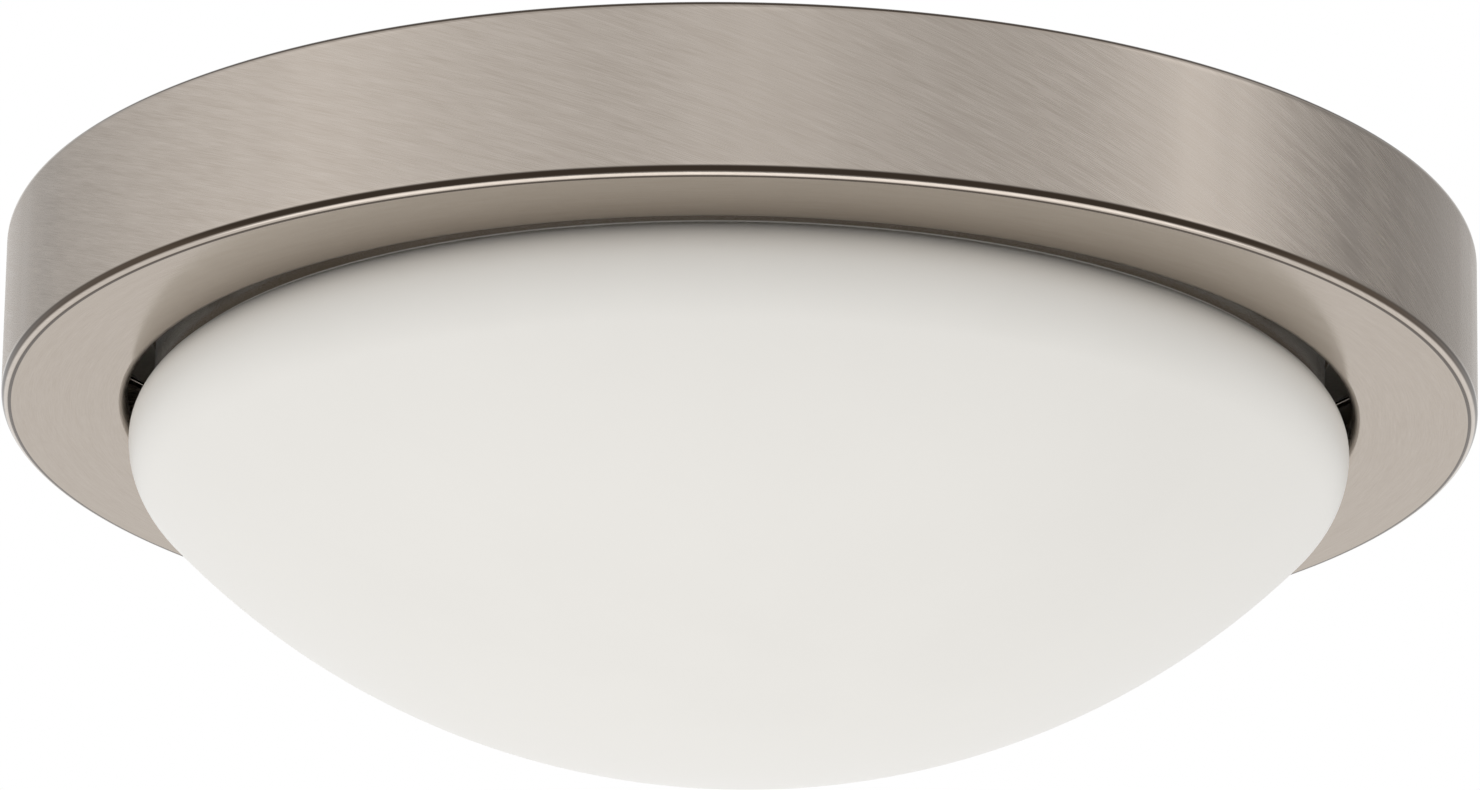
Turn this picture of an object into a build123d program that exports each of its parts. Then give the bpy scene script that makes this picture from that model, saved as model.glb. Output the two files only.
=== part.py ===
from build123d import *
import math
import os

# Flush mount ceiling light: a brushed nickel drum pan with an opal glass bowl that snaps into its opening.
#
# Millimetres. The origin is the centre of the ceiling plane, +Z points up into the ceiling, and the light
# hangs below it. Its two lamps lie along X, side by side and head to tail.

# ---------------------------------------------------------------- driving dimensions

# drum pan, drawn from one sheet
PAN_RADIUS = 165.0
PAN_HEIGHT = 39.0
PAN_SHEET = 0.8
PAN_TOP_BEND = 2.0  # outside radius where the wall turns in at the ceiling
PAN_EDGE_RADIUS = 2.2  # outside radius where the wall turns into the flat ring
PAN_FLANGE = 11.0  # width of the flange against the ceiling
RING_WIDTH = 25.5  # from the wall to where the lip starts to roll
LIP_RADIUS = 2.6
LIP_RISE = 1.6

# back plate, dished so that the crossbar fits above it
PLATE_SHEET = 0.8
PLATE_DEPTH = 9.0  # from the ceiling to the top of the deck
PLATE_SLOPE = 3.0  # radial run of the sloping wall
PLATE_BEND = 1.5
PLATE_CLEARANCE = 0.3  # between the plate and the pan
WIRE_HOLE_RADIUS = 18.0

# snap-in bushing in the wire hole
BUSHING_WEB = 1.2
BUSHING_LIP = 2.5
BUSHING_SHEET = 1.0

# opal glass bowl
THROAT_GAP = 2.8  # from the pan's lip to the bead
BEAD_WIDTH = 3.1
BEAD_HEIGHT = 4.0
BEAD_ROUND = 1.4
NECK_FILLET = 4.0
SHOULDER_PROUD = 5.3  # the widest circle stands this far out from the neck
SHOULDER_BELOW_RING = 7.1  # and lies this far below the flat ring
SHOULDER_RADIUS = 18.8
BOWL_DEPTH = 69.5  # from the widest circle to the lowest point
GLASS_WALL = 3.0

# gasket and spring clips
GASKET_THICKNESS = 3.0
CLIP_COUNT = 3
CLIP_SHEET = 0.5
CLIP_WIDTH = 14.0
CLIP_FOOT = 10.0
CLIP_STAND_OFF = 3.0  # from the bead to the inner end of the foot
CLIP_RIVET_INSET = 5.5
CLIP_ABOVE_RING = 6.4  # from the pan's ring to the bottom of the spring
CLIP_BEND = 2.0
NOSE_GAP = 1.2  # the nose lies this far from the neck and below the bead
NOSE_RISE = 3.6
NOSE_BEND = 0.8

# lamps, medium screw base
BALL_RADIUS = 30.0
FLANK_RADIUS = 38.3  # hollow side between the neck and the ball
BULB_WALL = 0.8
NECK_IN_CAP = 10.0
NECK_PROUD = 3.0
CAP_RADIUS = 13.0
CAP_SHEET = 0.4
CAP_LENGTH = 24.0
CAP_STEP = 3.0  # the cap narrows by this much at its end
CAP_TAPER = 2.6
CAP_FLOOR = 3.0
INSULATOR_HEIGHT = 2.8
INSULATOR_RIM = 0.8
BUTTON_RADIUS = 4.8
BUTTON_HEIGHT = 1.6
LAMP_HEADROOM = 3.2  # between the ball and the deck
LAMP_GAP = 16.0  # between the two balls
UNSCREW_TRAVEL = 21.8  # six turns of the thread

# lampholders, porcelain with a screw shell
HOLDER_CLEARANCE = 20.5  # from the glass's neck to the corner of the porcelain
THREAD_GAP = 0.5  # where the threads of lamp and shell mesh
SHELL_SHEET = 0.4
SHELL_LENGTH = 26.0
SHELL_HOLE_RADIUS = 7.0
HOLDER_WALL = 4.55
HOLDER_FLOOR = 2.0
HOLDER_RIM = 1.2
MOUTH_RECESS = 2.0
CONTACT_RISE = 2.3
CONTACT_WIDTH = 6.0
CONTACT_GAP = 1.0

# lampholder angles
BRACKET_SHEET = 1.2
BRACKET_FOOT = 18.0
BRACKET_BEND = 2.4
WINDOW_GAP = 1.8  # round the leads, where they pass through

# crossbar, studs and nuts
BOX_SPACING = 69.9  # screws of the smaller ceiling box
BOX_SPACING_STEP = 19.0  # more than that on the larger one
BOX_SLOT_WIDTH = 4.8
BAR_WIDTH = 22.0
BAR_SHEET = 1.6
BAR_END = 6.5
NIPPLE_HOLE_RADIUS = 5.3
STUD_RADIUS = 2.05
STUD_LAND = 3.6  # metal between a box slot and a stud
STUD_PROUD = 6.2
NUT_FLATS = 8.7
NUT_HEIGHT = 4.0
KEYHOLE_GAP = 2.0  # round the nut
KEYHOLE_SHIFT = 11.6  # from the stud to the round end
STUD_SLOT_GAP = 0.3

# insulation pad
PAD_BELOW_CEILING = 2.0
PAD_BAR_GAP = 3.0
PAD_EDGE_GAP = 10.7
PAD_POCKET = 4.5

# fasteners
RIVET_RADIUS = 1.6
RIVET_HEAD_RADIUS = 3.0
RIVET_HEAD_HEIGHT = 1.1
PAN_RIVET_COUNT = 6
SCREW_RADIUS = 1.5
SCREW_HEAD_RADIUS = 2.8
SCREW_HEAD_HEIGHT = 1.8
SCREW_DEPTH = 5.5  # in the porcelain
SCREW_TIP_GAP = 0.5
SCREW_INSET = 7.0  # from the porcelain's side
SCREW_TAIL = 2.5  # above the deck
GROUND_RADIUS = 2.4
GROUND_HEAD_RADIUS = 5.0
GROUND_HEAD_HEIGHT = 3.2
WASHER_RADIUS = 6.2
WASHER_SHEET = 1.0

# terminal block
BLOCK_CLEARANCE = 1.2  # from the block to the unscrewed lamp
BLOCK_OFFSET = 6.0  # outwards from the lamp's axis
BLOCK_WIDTH = 18.0
BLOCK_LENGTH = 25.0
BLOCK_HEIGHT = 14.0
BLOCK_CORNER = 1.5
POLE_PITCH = 12.0
ENTRY_DEPTH = 5.0
ENTRY_RADIUS = 2.0
TERMINAL_RECESS = 1.0

# leads, and the saddle over the two long ones
LEAD_RADIUS = 1.2
LEAD_SPREAD = 6.0  # half the distance between a lampholder's two leads
LEAD_LIFT = 10.0  # leads leave this far above the lampholder's axis
LEAD_SOCKET = 4.0
LEAD_FIT = 0.1
LEAD_DECK_GAP = 0.2
LEAD_PITCH = 4.0  # between the two leads where they run side by side
SADDLE_X = 36.0
SADDLE_INSET = 42.5  # from the glass's neck
SADDLE_WIDTH = 8.0
SADDLE_SHEET = 0.6
SADDLE_FOOT = 9.0
SADDLE_GAP = 0.4
SADDLE_BEND = 0.8
SADDLE_FOOT_BEND = 0.3

# clearances
HOLE_CLEARANCE = 0.05
SEAT_GAP = 0.3

# ---------------------------------------------------------------- places worked out from them

ring_z = -PAN_HEIGHT
ring_inner = PAN_RADIUS - RING_WIDTH
throat_radius = ring_inner - LIP_RADIUS
flange_inner = PAN_RADIUS - PAN_FLANGE
rivet_circle = PAN_RADIUS - PAN_FLANGE / 2

deck_top = -PLATE_DEPTH
deck_under = deck_top - PLATE_SHEET
plate_rim = PAN_RADIUS - PAN_TOP_BEND - PLATE_CLEARANCE
plate_flange_under = -PAN_SHEET - PLATE_SHEET
slope_outer = flange_inner - PLATE_CLEARANCE
deck_radius = slope_outer - PLATE_SLOPE

bead_radius = throat_radius - THROAT_GAP
neck_radius = bead_radius - BEAD_WIDTH
neck_bore = neck_radius - GLASS_WALL
glass_top = deck_under - GASKET_THICKNESS - SEAT_GAP
bead_under = glass_top - BEAD_HEIGHT
shoulder_z = ring_z - SHOULDER_BELOW_RING
shoulder_centre = neck_radius + SHOULDER_PROUD - SHOULDER_RADIUS
bowl_radius = (shoulder_centre**2 + BOWL_DEPTH**2 - SHOULDER_RADIUS**2) / (2 * (BOWL_DEPTH - SHOULDER_RADIUS))
bowl_z = shoulder_z - BOWL_DEPTH + bowl_radius

clip_leg = bead_radius + CLIP_STAND_OFF + CLIP_FOOT
clip_low = ring_z + PAN_SHEET + CLIP_ABOVE_RING
clip_rivet_radius = clip_leg - CLIP_RIVET_INSET

# the lampholder's own frame has its origin at the back of the porcelain and +X out of its mouth
shell_outer = CAP_RADIUS + THREAD_GAP + SHELL_SHEET
holder_bore = shell_outer + HOLE_CLEARANCE
holder_radius = holder_bore + HOLDER_WALL
holder_back = SCREW_DEPTH + SCREW_TIP_GAP + HOLDER_FLOOR
holder_length = holder_back + SHELL_LENGTH + MOUTH_RECESS
button_x = holder_back + CONTACT_RISE + SHELL_SHEET + SEAT_GAP
insulator_x = button_x + BUTTON_HEIGHT
cap_x = insulator_x + INSULATOR_HEIGHT
cap_end = cap_x + CAP_LENGTH
bulb_neck = CAP_RADIUS - CAP_SHEET - HOLE_CLEARANCE
neck_end = cap_end + NECK_PROUD
ball_x = neck_end + math.sqrt((FLANK_RADIUS + BALL_RADIUS) ** 2 - (FLANK_RADIUS + bulb_neck) ** 2)

lamp_y = BALL_RADIUS + LAMP_GAP / 2
lamp_z = deck_under - LAMP_HEADROOM - BALL_RADIUS
deck_from_axis = deck_under - lamp_z
holder_reach = math.sqrt((neck_bore - HOLDER_CLEARANCE) ** 2 - (lamp_y + holder_radius) ** 2)
lamp_tip = ball_x + BALL_RADIUS - holder_reach
bracket_rivets_at = [(BRACKET_FOOT / 2, side * holder_radius / 2) for side in (-1, 1)]
holder_screws_at = [side * (holder_radius - SCREW_INSET) for side in (-1, 1)]

stud_x = (BOX_SPACING + BOX_SPACING_STEP + BOX_SLOT_WIDTH) / 2 + STUD_LAND + STUD_RADIUS
bar_reach = stud_x + BAR_END
nut_corner = NUT_FLATS / 2 / math.cos(math.pi / 6)

block_right = -(lamp_tip + UNSCREW_TRAVEL + BLOCK_CLEARANCE)
block_left = block_right - BLOCK_WIDTH
block_x = (block_left + block_right) / 2
block_y = -lamp_y - BLOCK_OFFSET
pole_z = deck_under - BLOCK_HEIGHT / 2
live_y = block_y + POLE_PITCH / 2
neutral_y = block_y - POLE_PITCH / 2

lead_z = deck_under - LEAD_RADIUS - LEAD_DECK_GAP
saddle_y = SADDLE_INSET - neck_bore
saddle_reach = LEAD_PITCH / 2 + LEAD_RADIUS + SADDLE_GAP
saddle_rivet_y = saddle_y - saddle_reach - SADDLE_FOOT / 2

HOLDERS = (1, 2)


# ---------------------------------------------------------------- helpers


def wall_face(line, thickness, plane=Plane.XZ, side=Side.LEFT):
    """Section of a thin wall: the line of one face, given its thickness to one side."""
    return make_face(plane * offset(line, amount=thickness, side=side))


def sheet_face(points, bends, thickness, plane=Plane.XZ, side=Side.LEFT):
    """Section of a bent sheet from the points of one face and the radius at each bend."""
    return wall_face(FilletPolyline(*points, radius=bends), thickness, plane, side)


def turned(*pieces, axis=Axis.Z):
    """A solid of revolution from the edges of its half section."""
    face = make_face(Curve() + list(pieces))
    return revolve(face, axis, 360)


def lathe(points, plane=Plane.XZ, axis=Axis.Z):
    """A solid of revolution from a half section with straight sides only."""
    return revolve(make_face(plane * Polyline(*points, close=True)), axis, 360)


def rod(radius, low, high):
    """A cylinder along Z between two heights."""
    return extrude(Plane.XY.offset(low) * Circle(radius), high - low)


def dome_radius(width, height):
    """Radius of a dome from half its width and its height."""
    return (width**2 + height**2) / (2 * height)


def rivet(low, high, tail=True):
    """A rivet through sheets between two heights, its head below and its closed tail above."""
    body = rod(RIVET_RADIUS, low, high) + rod(RIVET_HEAD_RADIUS, low - RIVET_HEAD_HEIGHT, low)
    if tail:
        body += rod(RIVET_HEAD_RADIUS, high, high + RIVET_HEAD_HEIGHT)
    return body


def ring_of(count, radius, start=90.0):
    """Places on a circle about the light's axis, each turned to face outwards."""
    return [Rot(0, 0, start + 360.0 * i / count) * Pos(radius, 0, 0) for i in range(count)]


def holder_place(number):
    """Where a lampholder's own frame lies: its origin at the back of the porcelain, +X out of the mouth."""
    return Rot(0, 0, 180 * (number - 1)) * Pos(-holder_reach, lamp_y, lamp_z)


# ---------------------------------------------------------------- pan and back plate


def pan():
    outline = [
        (flange_inner, 0),
        (PAN_RADIUS, 0),
        (PAN_RADIUS, ring_z),
        (throat_radius, ring_z),
        (throat_radius, ring_z + LIP_RADIUS + LIP_RISE),
    ]
    bends = [PAN_TOP_BEND, PAN_EDGE_RADIUS, LIP_RADIUS]
    shell = revolve(sheet_face(outline, bends, PAN_SHEET, side=Side.RIGHT), Axis.Z, 360)
    for place in ring_of(PAN_RIVET_COUNT, rivet_circle):
        shell -= place * rod(RIVET_RADIUS + HOLE_CLEARANCE, -PAN_SHEET, 0)
    return shell


def keyhole(side):
    """Slot for a stud, with a round end that passes over the nut."""
    half_width = STUD_RADIUS + STUD_SLOT_GAP
    x = side * stud_x
    inner_x = side * (stud_x - KEYHOLE_SHIFT)
    head = Pos(inner_x, 0) * Circle(nut_corner + KEYHOLE_GAP)
    slot = Pos((x + inner_x) / 2, 0) * Rectangle(KEYHOLE_SHIFT, 2 * half_width)
    end = Pos(x, 0) * Circle(half_width)
    return extrude(Plane.XY.offset(deck_under) * (head + slot + end), PLATE_SHEET)


def through_deck(radius):
    return rod(radius, deck_under, deck_top)


def back_plate():
    under = [
        (WIRE_HOLE_RADIUS, deck_under),
        (deck_radius, deck_under),
        (slope_outer, plate_flange_under),
        (plate_rim, plate_flange_under),
    ]
    plate = revolve(sheet_face(under, [PLATE_BEND, PLATE_BEND], PLATE_SHEET), Axis.Z, 360)
    hole = RIVET_RADIUS + HOLE_CLEARANCE
    for place in ring_of(PAN_RIVET_COUNT, rivet_circle):
        plate -= place * rod(hole, plate_flange_under, -PAN_SHEET)
    for place in deck_rivet_places():
        plate -= place * through_deck(hole)
    plate -= keyhole(1) + keyhole(-1)
    plate -= Pos(block_x, block_y) * through_deck(SCREW_RADIUS + HOLE_CLEARANCE)
    plate -= Pos(-block_x, -block_y) * through_deck(GROUND_RADIUS + HOLE_CLEARANCE)
    return plate


def pan_rivets():
    flush = rivet(plate_flange_under, 0, tail=False)
    return [place * flush for place in ring_of(PAN_RIVET_COUNT, rivet_circle)]


def wire_bushing():
    """Snap-in edge bushing: a channel section whose groove holds the edge of the wire hole."""
    inner = WIRE_HOLE_RADIUS - BUSHING_WEB
    groove = WIRE_HOLE_RADIUS - HOLE_CLEARANCE
    outer = WIRE_HOLE_RADIUS + BUSHING_LIP
    low = deck_under - BUSHING_SHEET
    high = deck_top + BUSHING_SHEET
    return lathe(
        [
            (inner, low),
            (outer, low),
            (outer, deck_under),
            (groove, deck_under),
            (groove, deck_top),
            (outer, deck_top),
            (outer, high),
            (inner, high),
        ]
    )


def insulation_pad():
    """Mineral wool disc on the deck, with a pocket over each fastener."""
    ring = Circle(deck_radius - PAD_EDGE_GAP) - Circle(bar_reach + PAD_BAR_GAP)
    pad = extrude(Plane.XY.offset(deck_top) * ring, PLATE_DEPTH - PAD_BELOW_CEILING)
    pocket = rod(RIVET_HEAD_RADIUS + SEAT_GAP, deck_top, deck_top + PAD_POCKET)
    screws = [Pos(block_x, block_y), Pos(-block_x, -block_y)]
    for place in deck_rivet_places() + screws:
        pad -= place * pocket
    return pad


# ---------------------------------------------------------------- crossbar, studs and nuts


def crossbar():
    strap = SlotOverall(2 * bar_reach, BAR_WIDTH) - Circle(NIPPLE_HOLE_RADIUS)
    for side in (-1, 1):
        middle = side * (BOX_SPACING + BOX_SPACING_STEP / 2) / 2
        strap -= Pos(middle, 0) * SlotCenterToCenter(BOX_SPACING_STEP / 2, BOX_SLOT_WIDTH)
        strap -= Pos(side * stud_x, 0) * Circle(STUD_RADIUS + HOLE_CLEARANCE)
    return extrude(Plane.XY.offset(-BAR_SHEET) * strap, BAR_SHEET)


def fixture_studs():
    stud = rod(STUD_RADIUS, deck_under - NUT_HEIGHT - STUD_PROUD, 0)
    return [Pos(side * stud_x, 0) * stud for side in (-1, 1)]


def fixture_nuts():
    nut = RegularPolygon(nut_corner, 6) - Circle(STUD_RADIUS + HOLE_CLEARANCE)
    nut = extrude(Plane.XY.offset(deck_under - NUT_HEIGHT) * nut, NUT_HEIGHT)
    return [Pos(side * stud_x, 0) * nut for side in (-1, 1)]


# ---------------------------------------------------------------- glass bowl, gasket and clips


def bowl_section(grow):
    """Half section of one face of the bowl, from the neck to the lowest point, moved out by grow."""
    shoulder = SHOULDER_RADIUS + grow
    bowl = bowl_radius + grow
    neck_angle = math.acos((neck_radius + grow - shoulder_centre) / shoulder)
    meet = math.atan2(bowl_z - shoulder_z, shoulder_centre)

    def on_shoulder(angle):
        return (shoulder_centre + shoulder * math.cos(angle), shoulder_z + shoulder * math.sin(angle))

    half = (math.pi / 2 + meet) / 2
    middle = (bowl * math.cos(half), bowl_z - bowl * math.sin(half))
    return [
        ThreePointArc(on_shoulder(neck_angle), on_shoulder(neck_angle / 2), on_shoulder(0)),
        ThreePointArc(on_shoulder(0), on_shoulder(-meet / 2), on_shoulder(-meet)),
        ThreePointArc(on_shoulder(-meet), middle, (0, bowl_z - bowl)),
    ]


def shade_glass():
    outer = bowl_section(0)
    inner = bowl_section(-GLASS_WALL)
    neck_foot = outer[0] @ 0
    rim = Polyline(
        inner[0] @ 0,
        (neck_bore, glass_top),
        (bead_radius, glass_top),
        (bead_radius, bead_under),
        (neck_radius, bead_under),
        neck_foot,
    )
    lowest = Line(outer[2] @ 1, inner[2] @ 1)
    face = make_face(Curve() + [*outer, *inner, rim, lowest])
    bead_corners = [corner for corner in face.vertices() if abs(corner.X - bead_radius) < HOLE_CLEARANCE]
    face = fillet(bead_corners, min(BEAD_ROUND, BEAD_HEIGHT * 0.45, BEAD_WIDTH * 0.45))
    face = fillet(face.vertices().sort_by_distance(neck_foot)[0], NECK_FILLET)
    return revolve(Plane.XZ * face, Axis.Z, 360)


def shade_gasket():
    ring = Circle(bead_radius) - Circle(neck_bore)
    return extrude(Plane.XY.offset(deck_under - GASKET_THICKNESS) * ring, GASKET_THICKNESS)


def shade_clip():
    """Spring that hangs from the deck, loops back up and ends in a nose under the glass's bead."""
    nose_x = neck_radius + NOSE_GAP
    nose_z = bead_under - NOSE_GAP
    line = [
        (clip_leg - CLIP_FOOT, deck_under),
        (clip_leg, deck_under),
        (clip_leg, clip_low),
        (nose_x, nose_z),
        (nose_x + NOSE_RISE, nose_z + NOSE_RISE),
    ]
    section = sheet_face(line, [CLIP_BEND, CLIP_BEND, NOSE_BEND], CLIP_SHEET, side=Side.RIGHT)
    spring = extrude(section, CLIP_WIDTH / 2, both=True)
    hole = rod(RIVET_RADIUS + HOLE_CLEARANCE, deck_under - CLIP_SHEET, deck_under)
    return spring - Pos(clip_rivet_radius, 0) * hole


def clip_rivets():
    body = rivet(deck_under - CLIP_SHEET, deck_top)
    return [place * body for place in ring_of(CLIP_COUNT, clip_rivet_radius)]


# ---------------------------------------------------------------- lampholders


def across(x, y, z, radius, length):
    """A cylinder along the lampholder's axis that starts at x."""
    return extrude(Plane.YZ.offset(x) * (Pos(y, z) * Circle(radius)), length)


def bracket():
    """Angle whose foot is riveted under the deck and whose rounded end carries the porcelain."""
    back = -BRACKET_SHEET
    outline = [(BRACKET_FOOT, deck_from_axis), (back, deck_from_axis), (back, -holder_radius)]
    angle = extrude(sheet_face(outline, [BRACKET_BEND], BRACKET_SHEET), holder_radius, both=True)
    leaf = Rectangle(2 * holder_radius, deck_from_axis, align=(Align.CENTER, Align.MIN)) + Circle(holder_radius)
    angle &= extrude(Plane.YZ.offset(back) * leaf, BRACKET_SHEET + BRACKET_FOOT)
    window = SlotCenterToCenter(2 * LEAD_SPREAD, 2 * (LEAD_RADIUS + WINDOW_GAP))
    angle -= extrude(Plane.YZ.offset(back) * (Pos(0, LEAD_LIFT) * window), BRACKET_SHEET)
    for y in holder_screws_at:
        angle -= across(back, y, 0, SCREW_RADIUS + HOLE_CLEARANCE, BRACKET_SHEET)
    for x, y in bracket_rivets_at:
        hole = rod(RIVET_RADIUS + HOLE_CLEARANCE, deck_from_axis - BRACKET_SHEET, deck_from_axis)
        angle -= Pos(x, y) * hole
    return angle


def holder_body():
    """Glazed porcelain cup with a rounded mouth, blind screw holes and two lead sockets in its back."""
    body = lathe(
        [
            (0, 0),
            (0, holder_radius),
            (holder_length - 2 * HOLDER_RIM, holder_radius),
            (holder_length, holder_radius - HOLDER_RIM),
            (holder_length, holder_bore),
            (holder_back, holder_bore),
            (holder_back, 0),
        ],
        plane=Plane.XY,
        axis=Axis.X,
    )
    for y in holder_screws_at:
        body -= across(0, y, 0, SCREW_RADIUS + HOLE_CLEARANCE, SCREW_DEPTH + SCREW_TIP_GAP)
    for side in (-1, 1):
        body -= across(0, side * LEAD_SPREAD, LEAD_LIFT, LEAD_RADIUS + LEAD_FIT, LEAD_SOCKET)
    return body


def holder_shell():
    """Thin screw shell with a floor that rests on the porcelain."""
    outline = [
        (holder_back, SHELL_HOLE_RADIUS),
        (holder_back, shell_outer),
        (holder_back + SHELL_LENGTH, shell_outer),
    ]
    return revolve(sheet_face(outline, [0], SHELL_SHEET, Plane.XY, Side.RIGHT), Axis.X, 360)


def holder_contact():
    """Centre contact: a bent strip that lifts its tongue to the lamp's button."""
    reach = SHELL_HOLE_RADIUS - CONTACT_GAP
    line = [
        (holder_back, -reach),
        (holder_back, -0.4 * reach),
        (holder_back + CONTACT_RISE, 0),
        (holder_back + CONTACT_RISE, 0.8 * reach),
    ]
    section = sheet_face(line, [2 * SHELL_SHEET, 2 * SHELL_SHEET], SHELL_SHEET, Plane.XY, Side.RIGHT)
    return extrude(section, CONTACT_WIDTH / 2, both=True)


def lampholder_screws():
    head = across(-BRACKET_SHEET - SCREW_HEAD_HEIGHT, 0, 0, SCREW_HEAD_RADIUS, SCREW_HEAD_HEIGHT)
    screw = head + across(-BRACKET_SHEET, 0, 0, SCREW_RADIUS, BRACKET_SHEET + SCREW_DEPTH)
    return [holder_place(n) * Pos(0, y) * screw for n in HOLDERS for y in holder_screws_at]


def bracket_rivets():
    body = rivet(deck_from_axis - BRACKET_SHEET, deck_from_axis + PLATE_SHEET)
    return [holder_place(n) * Pos(x, y) * body for n in HOLDERS for x, y in bracket_rivets_at]


def deck_rivet_places():
    """Places on the deck where a rivet passes through it."""
    clips = ring_of(CLIP_COUNT, clip_rivet_radius)
    turns = [Rot(0, 0, 180 * (n - 1)) for n in HOLDERS]
    angles = [turn * Pos(x - holder_reach, lamp_y + y) for turn in turns for x, y in bracket_rivets_at]
    return clips + angles + [Pos(SADDLE_X, saddle_rivet_y)]


# ---------------------------------------------------------------- lamps


def lamp_button():
    edge_x = button_x + BUTTON_HEIGHT / 2
    dome = RadiusArc((button_x, 0), (edge_x, BUTTON_RADIUS), dome_radius(BUTTON_RADIUS, BUTTON_HEIGHT / 2))
    rest = Polyline((edge_x, BUTTON_RADIUS), (insulator_x, BUTTON_RADIUS), (insulator_x, 0), (button_x, 0))
    return turned(dome, rest, axis=Axis.X)


def lamp_insulator():
    outline = [
        (insulator_x, 0),
        (insulator_x, BUTTON_RADIUS + INSULATOR_RIM),
        (cap_x, CAP_RADIUS - CAP_STEP),
        (cap_x, 0),
    ]
    return lathe(outline, plane=Plane.XY, axis=Axis.X)


def lamp_cap():
    """Thin screw cap, open at its far end for the glass neck."""
    outline = [
        (cap_x, CAP_RADIUS - CAP_STEP - CAP_FLOOR),
        (cap_x, CAP_RADIUS - CAP_STEP),
        (cap_x + CAP_TAPER, CAP_RADIUS),
        (cap_end, CAP_RADIUS),
    ]
    return revolve(sheet_face(outline, [0, 0], CAP_SHEET, Plane.XY, Side.RIGHT), Axis.X, 360)


def lamp_bulb():
    """Thin pear-shaped envelope: a neck, a hollow-sided flank and a ball, each tangent to the next."""
    slope = math.atan2(ball_x - neck_end, FLANK_RADIUS + bulb_neck)
    ball_half = (math.pi / 2 - slope) / 2

    def on_flank(angle):
        return (neck_end + FLANK_RADIUS * math.sin(angle), bulb_neck + FLANK_RADIUS * (1 - math.cos(angle)))

    def on_ball(angle):
        return (ball_x + BALL_RADIUS * math.sin(angle), BALL_RADIUS * math.cos(angle))

    neck = Line((cap_end - NECK_IN_CAP, bulb_neck), (neck_end, bulb_neck))
    flank = ThreePointArc((neck_end, bulb_neck), on_flank(slope / 2), on_flank(slope))
    ball = ThreePointArc(on_flank(slope), on_ball(ball_half), (ball_x + BALL_RADIUS, 0))
    outside = Wire([*neck.edges(), *flank.edges(), *ball.edges()])
    return revolve(wall_face(outside, BULB_WALL, Plane.XY, Side.RIGHT), Axis.X, 360)


# ---------------------------------------------------------------- wiring


def pole_entries():
    """Each entry of the terminal block: its face, the way into the block, and its pole's place."""
    return [(x, way, y) for x, way in ((block_left, 1), (block_right, -1)) for y in (live_y, neutral_y)]


def terminal_block():
    low = deck_under - BLOCK_HEIGHT
    body = Rectangle(BLOCK_WIDTH, BLOCK_LENGTH) - Circle(SCREW_RADIUS + HOLE_CLEARANCE)
    body = extrude(Plane((block_x, block_y, low)) * body, BLOCK_HEIGHT)
    upright = body.edges().filter_by(Axis.Z).sort_by_distance((block_x, block_y, low))[-4:]
    body = chamfer(upright, BLOCK_CORNER)
    for x, way, y in pole_entries():
        body -= extrude(Plane((x, y, pole_z), z_dir=(way, 0, 0)) * Circle(ENTRY_RADIUS), ENTRY_DEPTH)
        body -= Pos(x + way * ENTRY_DEPTH / 2, y) * rod(SCREW_RADIUS + HOLE_CLEARANCE, low, pole_z)
    return body


def terminal_screws():
    low = deck_under - BLOCK_HEIGHT + TERMINAL_RECESS
    screw = rod(SCREW_RADIUS, low, pole_z - LEAD_RADIUS - HOLE_CLEARANCE)
    return [Pos(x + way * ENTRY_DEPTH / 2, y) * screw for x, way, y in pole_entries()]


def block_screw():
    low = deck_under - BLOCK_HEIGHT
    screw = rod(SCREW_RADIUS, low, deck_top + SCREW_TAIL)
    return Pos(block_x, block_y) * (screw + rod(SCREW_HEAD_RADIUS, low - SCREW_HEAD_HEIGHT, low))


def ground_screw():
    head = Plane.XY.offset(deck_under - GROUND_HEAD_HEIGHT) * RegularPolygon(GROUND_HEAD_RADIUS, 6)
    screw = extrude(head, GROUND_HEAD_HEIGHT) + rod(WASHER_RADIUS, deck_under - WASHER_SHEET, deck_under)
    return Pos(-block_x, -block_y) * (screw + rod(GROUND_RADIUS, deck_under, deck_top + SCREW_TAIL))


def lead_saddle():
    """Strap with one riveted foot, over the two long leads."""
    low = lead_z - LEAD_RADIUS - SADDLE_GAP / 2
    line = [
        (saddle_y - saddle_reach - SADDLE_FOOT, deck_under),
        (saddle_y - saddle_reach, deck_under),
        (saddle_y - saddle_reach, low),
        (saddle_y + saddle_reach, low),
        (saddle_y + saddle_reach, deck_under - HOLE_CLEARANCE),
    ]
    bends = [SADDLE_FOOT_BEND, SADDLE_BEND, SADDLE_BEND]
    strap = sheet_face(line, bends, SADDLE_SHEET, Plane.YZ.offset(SADDLE_X), Side.RIGHT)
    strap = extrude(strap, SADDLE_WIDTH / 2, both=True)
    hole = rod(RIVET_RADIUS + HOLE_CLEARANCE, deck_under - SADDLE_SHEET, deck_under)
    return strap - Pos(SADDLE_X, saddle_rivet_y) * hole


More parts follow.
